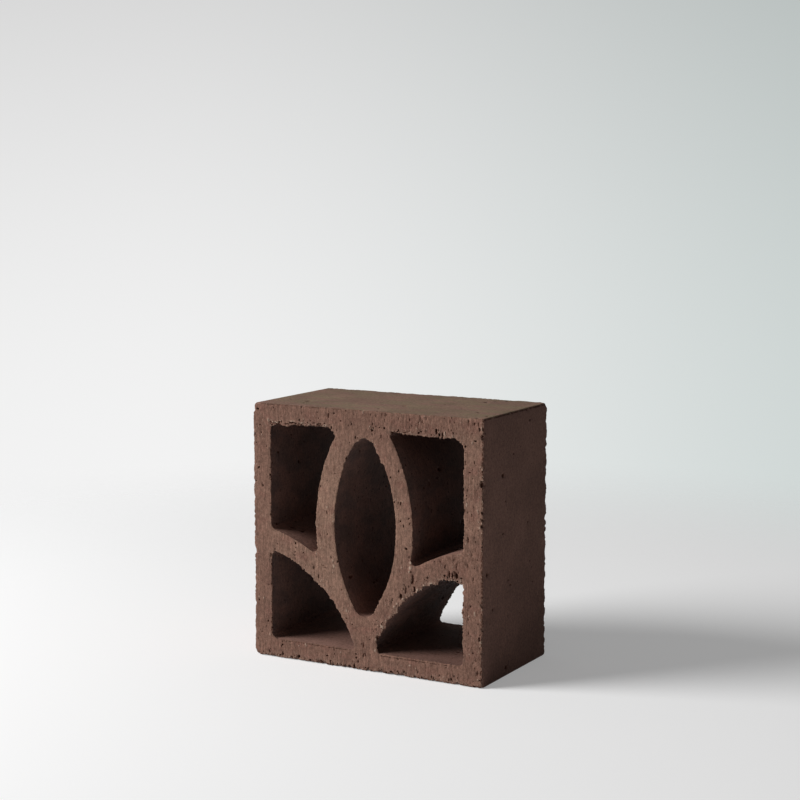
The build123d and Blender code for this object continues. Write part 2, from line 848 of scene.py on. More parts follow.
@dataclass
class WireCut:
    """A face that the wire left: torn outlines, drag marks, pits and crumbs.

    Calm and crisp say how ragged an upright edge is, and one that looks up, where 1 is the underside of
    the clay. The rim rows, in millimetres, are the rows of points that follow the outlines. A tear moves
    deeper below the cut by its reach for each millimetre of its size.
    """

    seed: int
    width: float
    height: float
    wear: Wear
    calm: float = 0.5
    crisp: float = 0.25
    looks_down: Fade = Fade(-0.2, 0.85)
    looks_up: Fade = Fade(0.3, 0.9)
    nicks: Nicks = Nicks()
    fringe: Fringe = Fringe()
    pull_reach: float = 1.2
    bite_reach: float = 1.6
    wander_reach: float = 1.2
    tear_uneven: float = 0.6
    tear_reach: float = 0.5
    lip_reach: float = 2.0
    spacing: float = 0.85 * MM
    jitter: float = 0.18
    strays: tuple[Strays, ...] = (Strays(Kind.PIT, 300, 4.0), Strays(Kind.CRUMB, 150, 1.6))
    wander: Layer = Layer((5.5 * MM,) * 3)
    nibble: Layer = Layer((1.1 * MM,) * 3, 0.31, 2)
    bite: Layer = Layer((2.2 * MM,) * 3, 0.77)
    sway: Layer = Layer((38 * MM, 1.0, 55 * MM), strength=0.14)
    drag: Layer = Layer((1.6 * MM, 1.0, 17 * MM), 0.13, 2, strength=0.1)
    ridge: Layer = Layer((5.0 * MM, 1.0, 40 * MM), 0.41, strength=0.08)
    grit: Layer = Layer((1.3 * MM, 1.0, 2.2 * MM), 0.57, 2, strength=0.05)
    frayed_grit: float = 0.4
    fray_reach: float = 2.2 * MM
    wobble: Layer = Layer((0.8 * MM,) * 3, 0.66, strength=0.4)
    worn: Layer = Layer((3 * MM,) * 3, 0.9, strength=0.14)
    rim_drop: float = 0.22
    rim_rows: tuple[float, float] = (0.45, 1.05)
    mark_gap: float = 0.25 * MM
    grid_gap: float = 1.35 * MM
    scar_gap: float = 1.35
    scar_side: Fade = Fade(0.5, 1.05)
    # The depth at which a pit's painted shade is full
    full_shade_depth: float = 0.58 * MM
    skin_depth: float = 0.4 * MM
    grain: Grain = field(init=False)

    def __post_init__(self) -> None:
        """Seed the face's own grain."""
        self.grain = Grain(self.seed)

    def in_space(self, spots: np.ndarray) -> np.ndarray:
        """Return spots of the section as points in space."""
        return np.stack([spots[:, 0], np.zeros(len(spots)), spots[:, 1]], axis=1)

    def read(self, spots: np.ndarray, layer: Layer) -> np.ndarray:
        """Return a layer of the face's grain at some spots of the section."""
        return self.grain.at(self.in_space(spots), layer)

    def raggedness(self, ring: Ring) -> np.ndarray:
        """Work out how ragged an outline is: most where the wire left the clay, going down.

        Args:
            ring: The outline.

        Returns:
            The raggedness at each of its points.
        """
        under = self.looks_down.of(-ring.out[:, 1])
        crisp = 1.0 - self.looks_up.of(ring.out[:, 1]) * (1.0 - self.crisp / self.calm)
        return (self.calm * crisp + (1.0 - self.calm) * under) * ROUGHNESS[ring.edge]

    def pull(self, ring: Ring) -> Pull:
        """Work out the lips and chips along an outline.

        Args:
            ring: The outline.

        Returns:
            What the wire did to it.
        """
        rough = self.raggedness(ring)
        grains = tuple(self.read(ring.points, layer) for layer in (self.wander, self.nibble, self.bite))
        wander, nibble, bite = grains
        outside = ring.edge is Edge.OUTSIDE
        size = self.nicks.size(nibble, bite) if outside else self.fringe.size(grains, rough)
        size = size * rough * MM
        reach = self.pull_reach + self.bite_reach * np.abs(bite) + self.wander_reach * np.abs(wander)
        reach = reach * MM
        for tear in self.wear.tears:
            if tear.edge is not ring.edge:
                continue
            away = np.linalg.norm(ring.points - tear.place(self.width), axis=1) / (tear.length * MM / 2.0)
            share = np.exp(-(away**2))
            size += tear.size * MM * share * (1.0 + self.tear_uneven * nibble)
            reach += self.tear_reach * abs(tear.size) * MM * share
        move = ring.out * ring.held(size)[:, None]
        for lip in self.wear.lips:
            if lip.edge is ring.edge:
                share = lip.share(ring.points - lip.place(self.width))
                move += np.array(lip.move) * MM * share[:, None]
                reach += self.lip_reach * MM * share
        return Pull(move, reach)

    def scatter(self, gap: Nearness) -> list[Scar]:
        """Gather the face's marks: those that are known, those in patches, and stray ones.

        Args:
            gap: What lies near each spot.

        Returns:
            All the marks.
        """
        rng = np.random.default_rng(self.seed + 1)
        found = list(self.wear.scars)
        for patch in self.wear.patches:
            found += patch.scars(rng)
        for strays in self.strays:
            found += strays.scars(rng, gap, self.width, self.height)
        return found

    def relief(self, spots: np.ndarray, frayed: np.ndarray) -> np.ndarray:
        """Work out the drag marks.

        Args:
            spots: Rows of x and z.
            frayed: How frayed the clay is at each spot.

        Returns:
            How far below the block's full depth each spot lies.
        """
        depth = sum(layer.strength * self.read(spots, layer) for layer in (self.sway, self.drag, self.ridge))
        depth = depth + (self.grit.strength + self.frayed_grit * frayed) * self.read(spots, self.grit)
        return self.skin_depth + depth * MM

    def sheet(self, rings: list[Ring], rims: list[np.ndarray]) -> Sheet:
        """Triangulate the face.

        Args:
            rings: The section's outlines.
            rims: Each outline's torn points at this cut.

        Returns:
            The face, with the rims' points first, in their order.
        """
        rim = np.concatenate(rims)
        out = np.concatenate([ring.out for ring in rings])
        ragged = np.concatenate([self.raggedness(ring) for ring in rings])
        gap = Nearness(rim, out, ragged)
        scars = self.scatter(gap)
        near, far = self.rim_rows
        picked = [rim - out * near * MM, (rim - out * far * MM)[::2]]
        picked += [scar.anchors() + scar.place(self.width) for scar in scars]
        special = np.concatenate(picked)
        distance, _, inside = gap.of(special)
        special = special[inside & (distance > self.mark_gap)]
        grid = self.grid()
        distance, _, inside = gap.of(grid)
        clear = inside & (distance > self.grid_gap)
        for scar in scars:
            clear &= scar.reach(grid - scar.place(self.width)) > self.scar_gap
        spots = np.concatenate([rim, special, grid[clear]])
        loops, start = [], 0
        for part in rims:
            numbers = np.arange(start, start + len(part))
            loops += list(zip(numbers.tolist(), np.roll(numbers, -1).tolist()))
            start += len(part)
        made = delaunay_2d_cdt([Vector(spot) for spot in spots.tolist()], loops, [], FILL_ALL, SAME_SPOT)
        source = np.array([origin[0] for origin in made[3]])
        triangles = self.clay_only(source[np.array(made[2])], loops)
        used = np.union1d(np.arange(len(rim)), triangles)
        triangles = np.searchsorted(used, triangles)
        return self.marked(triangles, spots[used], len(rim), gap, scars)

    @staticmethod
    def clay_only(triangles: np.ndarray, loops: list[tuple[int, int]]) -> np.ndarray:
        """Keep the triangles on the clay's side of the outlines.

        Args:
            triangles: Every triangle, in the clay and in the openings.
            loops: The outlines' edges.

        Returns:
            The triangles of the largest patch that no outline crosses.
        """
        sides = np.concatenate([triangles[:, [0, 1]], triangles[:, [1, 2]], triangles[:, [2, 0]]])
        keys = np.sort(sides, axis=1) @ EDGE_KEY
        walls = np.sort(np.array(loops), axis=1) @ EDGE_KEY
        owner = np.tile(np.arange(len(triangles)), 3)
        order = np.argsort(keys, kind="stable")
        pair = np.flatnonzero(keys[order][1:] == keys[order][:-1])
        pair = pair[~np.isin(keys[order][pair], walls)]
        first, second = owner[order[pair]], owner[order[pair + 1]]
        patch = np.arange(len(triangles))
        while True:
            before = patch.copy()
            least = np.minimum(patch[first], patch[second])
            np.minimum.at(patch, patch[first], least)
            np.minimum.at(patch, patch[second], least)
            patch = patch[patch]
            if np.array_equal(before, patch):
                break
        return triangles[patch == np.bincount(patch).argmax()]

    def marked(
        self, triangles: np.ndarray, spots: np.ndarray, rim_count: int, gap: Nearness, scars: list[Scar]
    ) -> Sheet:
        """Put the relief, pits and crumbs on a triangulation.

        Args:
            triangles: Rows of three spots' numbers.
            spots: Rows of x and z, the outlines' points first.
            rim_count: How many spots belong to the outlines.
            gap: What lies near each spot.
            scars: The face's marks.

        Returns:
            The finished face.
        """
        distance, ragged, _ = gap.of(spots)
        frayed = ragged**2 * np.exp(-distance / self.fray_reach)
        sink = self.relief(spots, frayed)
        pit, crumb = np.zeros(len(spots)), np.zeros(len(spots))
        wobble = 1.0 + self.wobble.strength * self.read(spots, self.wobble)
        for scar in scars:
            reach = scar.reach(spots - scar.place(self.width))
            share = 1.0 - self.scar_side.of(reach * wobble)
            sink += scar.depth * share
            # Pits and creases mark painted shade for the clay's colour, stronger the deeper they are
            if scar.depth > 0.0:
                pit = np.maximum(pit, share * min(scar.depth / self.full_shade_depth, 1.0))
            else:
                crumb = np.maximum(crumb, share)
        worn = self.read(spots, self.worn)
        sink[:rim_count] += (self.rim_drop + self.worn.strength * worn[:rim_count]) * MM
        return Sheet(spots, np.clip(sink, 0.0, None), triangles, pit, crumb, frayed)

    def grid(self) -> np.ndarray:
        """Spread points over the whole face.

        Returns:
            The points of a staggered grid, each a little out of its place.
        """
        rng = np.random.default_rng(self.seed + 2)
        rows = np.arange(0.0, self.height, self.spacing * math.sqrt(0.75))
        columns = np.arange(-self.width / 2.0, self.width / 2.0, self.spacing)
        x, z = np.meshgrid(columns, rows)
        x = x + (np.arange(len(rows)) % 2)[:, None] * self.spacing / 2.0
        spots = np.stack([x.ravel(), z.ravel()], axis=1)
        return spots + rng.uniform(-self.jitter, self.jitter, spots.shape) * self.spacing


@dataclass
class DieSkin:
    """The smooth walls that the die left: ripples round the column, die lines along it, and a few pits,
    marked for painted shade.

    The groove runs along the right of the top, at its own height, and is marked for a painted shadow line
    under the top's edge. The strengths of the layers, the sizes of the pits, the skin's wear and the groove's
    depth are in millimetres, and a pit's depth is a share of its size. The pits keep some rows clear of the
    cuts.
    """

    seed: int
    pits: int = 34
    outside_pits: int = 3
    pit_size: float = 1.1
    pit_spread: float = 0.4
    pit_largest: float = 2.4
    pit_depth: float = 0.55
    pit_side: Fade = Fade(0.35, 1.0)
    clear_rows: int = 3
    lines: Layer = Layer((1.7 * MM, 120 * MM, 1.7 * MM), strength=0.035)
    ripples: Layer = Layer((45 * MM, 2.6 * MM, 45 * MM), 0.37, 2, strength=0.06)
    sway: Layer = Layer((32 * MM, 60 * MM, 32 * MM), 0.71, strength=0.22)
    groove: float = 198.9 * MM
    groove_width: float = 0.6 * MM
    groove_depth: float = 0.3
    groove_from: float = 0.09
    groove_usual: float = 0.8
    groove_uneven: float = 1.2
    groove_least: float = 0.2
    wear: float = 0.12
    grain: Grain = field(init=False)

    def __post_init__(self) -> None:
        """Seed the skin's own grain."""
        self.grain = Grain(self.seed)

    def relief(self, ring: Ring, along: np.ndarray) -> tuple[np.ndarray, np.ndarray]:
        """Work out the skin's relief round an outline.

        Args:
            ring: The outline.
            along: The rows' places along Y.

        Returns:
            How far each point moves out of the clay, one row for each place, and its share of a pit.
        """
        outside = ring.edge is Edge.OUTSIDE
        x, y = np.meshgrid(ring.points[:, 0], along)
        z = np.broadcast_to(ring.points[:, 1], x.shape)
        points = np.stack([x.ravel(), y.ravel(), z.ravel()], axis=1)
        layers = (self.lines, self.ripples, self.sway)
        read = [self.grain.at(points, layer) for layer in layers]
        shift = sum(layer.strength * values for layer, values in zip(layers, read)) * MM
        pit = np.zeros(len(points))
        rng = np.random.default_rng(self.seed + 1 + list(Edge).index(ring.edge))
        first, last = along[self.clear_rows], along[-1 - self.clear_rows]
        for _ in range(self.pits * (self.outside_pits if outside else 1)):
            spot = ring.points[rng.integers(len(ring.points))]
            middle = np.array([*spot, rng.uniform(first, last)])
            size = min(rng.lognormal(math.log(self.pit_size), self.pit_spread), self.pit_largest) * MM
            away = np.linalg.norm(points[:, [0, 2, 1]] - middle, axis=1) / size
            share = 1.0 - self.pit_side.of(away)
            shift -= self.pit_depth * size * share
            # Each pit is marked for painted shade
            pit = np.maximum(pit, share)
        if outside:
            groove = np.exp(-(((points[:, 2] - self.groove) / self.groove_width) ** 2))
            uneven = self.groove_usual + self.groove_uneven * read[layers.index(self.ripples)]
            groove = groove * (points[:, 0] > self.groove_from) * np.clip(uneven, self.groove_least, 1.0)
            shift = np.minimum(shift - (self.wear + self.groove_depth * groove) * MM, 0.0)
            # The groove is marked for painted shade: a dark shadow line under the top's right edge
            pit = np.maximum(pit, groove)
        return shift.reshape(x.shape), pit.reshape(x.shape)


@dataclass
class Wall:
    """What the die left along one outline, torn at both cuts: a row of points for each place along Y."""

    ring: Ring
    points: np.ndarray
    # pit: each point's share of painted shade in a pit or the groove
    pit: np.ndarray
    fray: np.ndarray

    def triangles(self, number: np.ndarray) -> np.ndarray:
        """Join the wall's points.

        Args:
            number: The points' numbers in the mesh, as the wall is laid out.

        Returns:
            The wall's triangles, facing out of the clay.
        """
        here, after = number, np.roll(number, -1, axis=1)
        a, b, c, d = here[:-1].ravel(), after[:-1].ravel(), after[1:].ravel(), here[1:].ravel()
        made = np.concatenate([np.stack([a, b, c], axis=1), np.stack([a, c, d], axis=1)])
        return made[:, ::-1] if self.ring.edge is Edge.OUTSIDE else made


@dataclass
class MeshParts:
    """Points, their marks and triangles, gathered part by part."""

    points: list[np.ndarray] = field(default_factory=list)
    triangles: list[np.ndarray] = field(default_factory=list)
    marks: dict[str, list[np.ndarray]] = field(default_factory=dict)
    count: int = 0

    def add(self, points: np.ndarray, **marks: np.ndarray) -> np.ndarray:
        """Add points.

        Args:
            points: Rows of x, y and z.
            marks: Each mark's value at every point, or one value for all of them.

        Returns:
            The points' numbers in the mesh.
        """
        numbers = self.count + np.arange(len(points))
        self.points.append(points)
        for name, values in marks.items():
            self.marks.setdefault(name, []).append(np.broadcast_to(values, len(points)))
        self.count += len(points)
        return numbers

    def mesh(self, name: str) -> bpy.types.Mesh:
        """Make the mesh.

        Args:
            name: The mesh's name.

        Returns:
            The mesh, with each mark as an attribute of its points.
        """
        points, triangles = np.concatenate(self.points), np.concatenate(self.triangles)
        mesh = bpy.data.meshes.new(name)
        mesh.vertices.add(len(points))
        mesh.vertices.foreach_set("co", points.astype(np.float32).ravel())
        mesh.loops.add(triangles.size)
        mesh.loops.foreach_set("vertex_index", triangles.astype(np.int32).ravel())
        mesh.polygons.add(len(triangles))
        mesh.polygons.foreach_set("loop_start", np.arange(len(triangles), dtype=np.int32) * 3)
        mesh.update(calc_edges=True)
        mesh.validate()
        for mark, parts in self.marks.items():
            layer = mesh.attributes.new(mark, "FLOAT", "POINT")
            layer.data.foreach_set("value", np.concatenate(parts).astype(np.float32))
        return mesh


@dataclass
class ClayBlock:
    """The whole block as one closed mesh: walls from the die between two cut faces.

    The rows by a cut say how many millimetres below it the walls' closest rows lie. In the wear, each row
    of tears gives x, z, length and size, and each row of scars x, z, width and height.
    """

    section: Section
    front: float
    back: float
    step: float = 0.5 * MM
    most_triangles: int = 190_000
    sharp_angle: float = math.radians(48)
    rows_by_cut: tuple[float, ...] = (0.0, 0.3, 0.7, 1.2, 1.8, 2.5, 3.4, 4.5)
    rows_between: int = 54
    between_from: float = 5.8 * MM
    sink_reach: float = 6.0 * MM
    fray_move: float = 0.8 * MM
    front_seed: int = 11
    back_seed: int = 29
    skin_seed: int = 47
    back_calm: float = 0.6
    back_spacing: float = 1.1 * MM
    front_wear: Wear = Wear(
        tears=(
            *Tear.along(
                Edge.LOWER_RIGHT,
                (171, 79, 8, 0.9), (146, 66, 12, 0.9), (116, 36, 5, 1), (184, 50, 60, 0.7),
            ),
            *Tear.along(Edge.UPPER_RIGHT, (155, 184.5, 44, 0.8), (130, 184.5, 7, -0.7)),
            *Tear.along(
                Edge.UPPER_LEFT,
                (20, 184.5, 12, 0.5), (60, 184.5, 9, -1.1), (24, 184.5, 3, -1), (31, 184.5, 4, 0.7),
                (38, 184.5, 4, -1.2), (45, 184.5, 3, -0.9), (53, 184.5, 4, -1.2), (68, 184, 4, -1.1),
                (16, 133, 5, -0.6), (15.5, 144, 2.5, -0.9),
            ),
            *Tear.along(Edge.LOWER_LEFT, (48, 70, 40, 0.4), (15.7, 69, 3, -0.8)),
            *Tear.along(
                Edge.LEAF,
                (110, 168, 17, 1.3), (115, 162, 4, 1), (111, 54, 22, 1.2), (84, 163, 4, -0.9),
                (82, 158, 3, -0.8), (100.5, 179, 3, -0.9),
            ),
            *Tear.along(
                Edge.OUTSIDE,
                (0, 84, 5, -1.9), (0, 195, 4, -1.4), (0, 41, 4, -1.1), (0, 157, 14, -0.6),
                (0, 171, 5, -0.5), (0, 138, 4, -0.5), (0, 125, 5, -0.8), (0, 117, 4, -0.6),
                (0, 108, 4, -0.9), (0, 101, 4, -0.9), (0, 72, 12, -0.6), (0, 58, 5, -0.6), (0, 31, 6, -0.6),
                (0, 18, 5, -0.4), (13, 0, 10, -0.6), (84, 0, 8, -0.7), (112, 0, 6, -0.6), (131, 0, 8, -0.6),
                (0.7, 199.3, 6, -1.5), (0.7, 0.7, 6, -1.1), (49, 0, 26, -0.8), (200, 186, 3.5, -1.3),
                (200, 151.5, 4.5, -1.8), (200, 131, 3, -1.1), (200, 121, 3, -1.2), (200, 105, 2.5, -0.9),
                (200, 63, 3, -1.1), (200, 37, 5, -0.8), (200, 20, 9, -0.9),
            ),
        ),
        lips=(
            Lip(184, 84, Edge.LOWER_RIGHT, (0, -6.5), 11, 10),
            Lip(105.5, 15, Edge.LOWER_RIGHT, (4.5, 0), 8, 7),
        ),
        scars=(
            # The upper left
            *Scar.group(
                Kind.PIT,
                (0.8, 194.8, 1.8, 2.2), (4.8, 195.2, 1.4, 1.6), (5.1, 149.6, 1.6, 1.7), (8.7, 135.4, 1, 3),
                (15.2, 144.2, 1.2, 2.2), (42.5, 189, 1.2, 1.9), (59.6, 191.4, 0.9, 1.4),
                (68.5, 194, 0.8, 4.6), (61, 187, 3.2, 1.2), (55.5, 187.2, 2.6, 0.8), (65, 187.6, 1.8, 0.8),
                (35.5, 186.3, 6, 0.9), (31, 185.4, 2.6, 0.8), (26, 186.6, 2, 0.8), (17.6, 183.8, 2.2, 1),
                (6.4, 182.6, 2, 0.8), (12.4, 166.4, 1.2, 1), (3, 168.6, 1, 1), (2.2, 138.6, 1.4, 0.9),
                (26, 190.5, 0.7, 1.3), (19, 196.8, 0.8, 1.4), (58.6, 195.6, 0.7, 1.6),
                (79.5, 190.6, 0.7, 1.4), (82.5, 189.2, 0.6, 1), (88.8, 189, 0.8, 2), (86, 187.6, 0.6, 2.6),
                (78.6, 157.6, 1.6, 0.5),
            ),
            Scar(18.8, 183.2, Kind.CRUMB, 0.8, 0.8),
            # Round the top of the leaf, and its left rib
            *Scar.group(
                Kind.PIT,
                (73.5, 196, 1.6, 1.4), (100.5, 178.4, 1.6, 1.5), (84, 162.5, 1.4, 1.6),
                (74.2, 150, 1.2, 0.8), (66.8, 119.5, 0.7, 3),
            ),
            # The right half of the top wall
            *Scar.group(
                Kind.PIT,
                (117.2, 187.6, 1.4, 1.8), (112.8, 187.8, 1.1, 1.1), (114.3, 181, 0.8, 3.2),
                (124.2, 184.4, 2, 2.2), (128.4, 185.8, 2.6, 1), (129.3, 187, 1, 2), (134.5, 185.6, 4, 0.9),
                (146.2, 186, 1.8, 1.4), (148.3, 187.2, 1.2, 1.6), (161, 188.6, 1.6, 4),
                (163.4, 186, 1.4, 3.2), (166.2, 186.4, 1.5, 3.4), (175, 188, 0.9, 2.4),
            ),
            # The upper half of the right wall
            *Scar.group(
                Kind.PIT,
                (196.6, 192, 1.2, 3.2), (193.2, 183.2, 1.3, 1), (185, 178.8, 1.5, 2),
                (192.3, 167.6, 0.8, 3.2), (188.6, 160, 2.6, 0.7), (198, 151.6, 2.2, 5),
                (198.2, 154, 1, 1.6), (198.4, 186.4, 1.6, 3.4), (193.4, 183.4, 2.4, 1),
                (198.6, 131, 1.2, 2.8), (198.4, 121, 1.5, 2.6), (198.6, 126, 1.2, 1.4), (198.8, 106, 1, 1),
                (187.5, 110, 0.8, 6.6),
            ),
            # The right rib
            *Scar.group(
                Kind.PIT,
                (129.5, 156, 1.2, 1.6), (122.5, 151, 1.1, 1.9), (125.6, 132.5, 1.1, 1.4),
                (129, 132.4, 0.9, 2.4), (131.1, 132, 0.9, 3.6), (131, 118.5, 1, 1.6),
                (133.6, 115, 0.9, 2.2), (135.9, 98, 2.3, 2),
            ),
            # The left arch
            *Scar.group(
                Kind.PIT,
                (38.3, 92.5, 1.2, 1.8), (38.4, 89.2, 1.2, 1.2), (37.8, 86, 1.1, 1), (37.4, 83, 0.9, 1.2),
                (45.5, 86, 1, 1.3), (54.7, 75.3, 1.2, 3.6), (59, 69, 0.8, 4), (63, 77.8, 4.5, 0.6),
                (65, 76.2, 4.5, 0.6),
            ),
            # The lower left, and the foot of the leaf
            *Scar.group(
                Kind.PIT,
                (84, 39, 2.6, 0.8), (88.8, 35, 1, 1.4), (12.5, 28, 1.3, 1.4), (4.2, 44, 1, 1.2),
                (25.8, 11, 1.5, 2), (25.9, 4, 1.2, 4), (40.2, 3.4, 2.2, 3.2), (13.6, 4, 1.2, 2.6),
                (66.2, 7.5, 2, 1.2), (73, 9.6, 1, 1.4), (69.6, 4, 1.3, 1.3), (92.1, 12.2, 1.4, 1.7),
                (92.2, 9.4, 1.7, 1.3), (94, 6.6, 1.2, 2.6), (98.6, 20, 0.7, 6), (82, 1.6, 3, 1.2),
                (92, 1.2, 3.2, 1.2),
            ),
            # The right arch
            *Scar.group(
                Kind.PIT,
                (141.4, 75, 1.5, 10), (143, 68.6, 1.6, 5), (134, 70.6, 1.2, 1), (135.4, 67, 1, 8),
                (131.2, 61.8, 2.2, 4.2), (172.1, 83, 1.4, 6.4), (174.9, 81.6, 1.2, 4.8),
                (178.2, 82, 2.6, 4.4), (168.5, 81.4, 1.5, 2.2), (170.6, 80, 0.9, 2.6),
                (176.4, 84.8, 0.8, 2.6), (179, 78.4, 1.6, 1.6), (182, 81, 1.6, 0.9), (178.2, 89, 0.7, 7),
            ),
            # The lower right
            *Scar.group(
                Kind.PIT,
                (110.8, 27, 1.8, 3.6), (128.8, 12.8, 1, 1.2), (102.8, 2.4, 1.3, 1.3),
                (134.2, 3.8, 1.1, 2.2), (157.6, 3.2, 0.9, 3), (164, 5.2, 0.8, 2.6), (172, 3, 1.2, 3),
                (174.3, 3.6, 1, 2.4), (197, 37, 1.2, 4.6), (195.6, 11.5, 1, 4), (197.6, 6, 1.5, 1.4),
                (192, 26, 1.2, 1.4), (196, 48.3, 1.6, 1), (199.3, 63, 1.2, 2.4),
            ),
            # Crumbs on the left half
            *Scar.group(
                Kind.CRUMB,
                (14, 187, 1.4, 3), (18.4, 185.8, 1.6, 1.8), (21.8, 185.6, 3.6, 1.9),
                (25.4, 187.2, 1.6, 0.9), (35.6, 187.4, 4.4, 0.9), (44.4, 186.2, 2.2, 1.2),
                (52, 185.7, 3.4, 0.8), (65.5, 186.2, 4.4, 1), (46.4, 190, 0.8, 2.2), (8, 175.3, 1, 1.8),
                (72.5, 113, 1, 1.8), (66.8, 123.6, 1, 1.6), (71.8, 82, 1.3, 2), (72.8, 78.6, 1.6, 2.6),
                (84, 45, 1.2, 3.6), (4.2, 46.8, 1.1, 2.2), (8.6, 46, 1, 2.4), (14.2, 17.8, 1.4, 2.4),
            ),
            # Crumbs on the right half
            *Scar.group(
                Kind.CRUMB,
                (99, 198.8, 0.9, 2.4), (168.2, 187, 1.1, 5), (163.6, 188, 0.7, 2.6), (190.6, 182, 1.2, 2.4),
                (198.8, 163, 1.2, 1.6), (197, 120, 1.6, 2), (195.2, 132.6, 0.9, 1.6), (186.2, 136, 0.8, 4),
                (139.8, 88, 2.4, 3), (139, 84, 2.2, 4), (138.4, 81, 1.6, 2.4), (132, 83.4, 1, 2.2),
            ),
            Scar(139.8, 81, Kind.PIT, 0.8, 2.4),
            # Crumbs on the lower right
            *Scar.group(
                Kind.CRUMB,
                (139.2, 9.8, 1.6, 1.6), (193.2, 56, 0.9, 4), (198, 35, 1.4, 1.8), (109.2, 17.4, 1.2, 2.4),
                (115.6, 36, 1.3, 3.2), (125.6, 53, 1.8, 2.2), (127.8, 55.6, 1, 2.4), (133, 59.8, 1.8, 2),
                (145.4, 67.6, 2.2, 3.4), (151, 72.4, 1.8, 1.6), (157, 74.4, 3.4, 1.4),
                (114.4, 36.6, 1.8, 3), (46.8, 14, 1.4, 1.6), (198, 153.6, 1, 3.4),
            ),
        ),
        patches=(
            Patch(38, 186.2, Kind.CRUMB, 46, 2, 26, 1.6),
            Patch(145, 66.5, Kind.CRUMB, 12, 5, 9, 2),
            Patch(133, 59.6, Kind.CRUMB, 8, 3, 6, 1.6),
            Patch(112, 30, Kind.CRUMB, 4, 20, 8, 2),
            Patch(64, 63, Kind.CRUMB, 9, 8, 7, 1.6),
            Patch(84, 40, Kind.CRUMB, 5, 12, 8, 1.8),
            Patch(198.8, 100, Kind.CRUMB, 1.6, 190, 26, 3.5),
            Patch(134, 186, Kind.CRUMB, 12, 2.5, 9, 2.4),
            Patch(106, 186, Kind.CRUMB, 5, 10, 6, 2.5),
            Patch(175, 79.4, Kind.CRUMB, 15, 2.4, 10, 3.5),
            Patch(175, 82, Kind.PIT, 15, 7, 6, 5),
            Patch(148, 188, Kind.PIT, 34, 5, 12, 3),
            Patch(143, 69, Kind.PIT, 20, 10, 8, 5),
            Patch(111, 26, Kind.PIT, 4, 20, 7, 3),
            Patch(150, 193, Kind.CREASE, 92, 11, 34, 7),
            Patch(191, 140, Kind.CREASE, 13, 90, 22, 7),
            Patch(193, 50, Kind.CREASE, 12, 95, 24, 7),
            Patch(100, 1.8, Kind.PIT, 190, 3, 34, 2),
            Patch(100, 0.8, Kind.PIT, 194, 1, 54, 3, level=True, sizes=(0.5, 1.2)),
            Patch(72, 2.2, Kind.PIT, 110, 1.6, 16, 2, level=True, sizes=(0.8, 1.6)),
            Patch(62, 1.9, Kind.CRUMB, 116, 1.6, 18, 3, level=True),
            Patch(107, 186, Kind.PIT, 8, 10, 7, 4),
            Patch(99, 20, Kind.PIT, 18, 26, 6, 7),
            Patch(42, 185.6, Kind.PIT, 52, 1.2, 22, 4, level=True, sizes=(0.5, 0.9)),
            Patch(44, 186, Kind.PIT, 50, 2.2, 16, 2),
            Patch(112, 38, Kind.PIT, 12, 10, 10, 4),
            Patch(124, 54, Kind.PIT, 12, 8, 8, 4),
            Patch(140, 67, Kind.PIT, 14, 6, 8, 4),
            Patch(158, 77, Kind.PIT, 14, 5, 8, 4),
            Patch(55, 14.3, Kind.CREASE, 60, 0.2, 64, 8, level=True, sizes=(0.35, 0.6)),
            Patch(147, 13.5, Kind.CREASE, 66, 0.2, 66, 8, level=True, sizes=(0.35, 0.6)),
            Patch(44, 199.2, Kind.CREASE, 72, 0.1, 60, 8, level=True, sizes=(0.35, 0.5)),
            Patch(199.3, 100, Kind.PIT, 1, 190, 24, 3),
            Patch(43, 184.8, Kind.PIT, 52, 0.6, 26, 3, level=True, sizes=(0.5, 0.9)),
            Patch(15.6, 143, Kind.PIT, 0.8, 78, 17, 2.5),
            Patch(15.6, 50, Kind.PIT, 0.8, 60, 11, 2.5),
        ),
    )
    back_wear: Wear = Wear(
        tears=(
            *Tear.along(
                Edge.OUTSIDE,
                (200, 186, 5, -1.2), (200, 162, 4, -1), (200, 140, 6, -1.3), (200, 124, 7, -1.4),
                (200, 109.5, 4, -1), (200, 97, 4, -1.2), (200, 83, 6, -1.2), (200, 70, 3, -0.9),
                (200, 55.5, 5, -1.3), (200, 41, 4, -1), (200, 28, 6, -0.9), (200, 16, 4, -1.2),
                (22, 200, 5, -0.8), (54, 200, 9, -0.5), (88, 200, 4, -0.8), (131, 200, 6, -0.6),
                (168, 200, 8, -0.6), (188, 200, 5, -0.8),
            ),
        ),
        lips=(Lip(200, 200, Edge.OUTSIDE, (-1, -1.4), 3.5, 3.5),),
    )

    def build(self) -> bpy.types.Object:
        """Build the block.

        Returns:
            The block's object.
        """
        rings = [Ring.around(edge, points) for edge, points in self.section.outlines(self.step).items()]
        width, height = self.section.width, self.section.height
        front = WireCut(self.front_seed, width, height, self.front_wear)
        back = WireCut(
            self.back_seed, width, height, self.back_wear, calm=self.back_calm, spacing=self.back_spacing
        )
        cuts = (front, back)
        skin = DieSkin(self.skin_seed)
        along = self.rows()
        walls = [self.wall(ring, skin, cuts, along) for ring in rings]
        sheets = [cut.sheet(rings, [wall.points[row] for wall in walls]) for cut, row in zip(cuts, ENDS)]
        return self.thinned(self.joined(walls, sheets, along))

    def rows(self) -> np.ndarray:
        """Place the walls' rows along Y.

        Returns:
            The rows' places, close together by the cuts.
        """
        near = np.array(self.rows_by_cut) * MM
        inner = np.linspace(self.front + self.between_from, self.back - self.between_from, self.rows_between)
        return np.concatenate([self.front + near, inner, (self.back - near)[::-1]])

    def depths(self, along: np.ndarray) -> tuple[np.ndarray, np.ndarray]:
        """Return how deep each row lies below the front cut, and below the back one."""
        return along - self.front, self.back - along

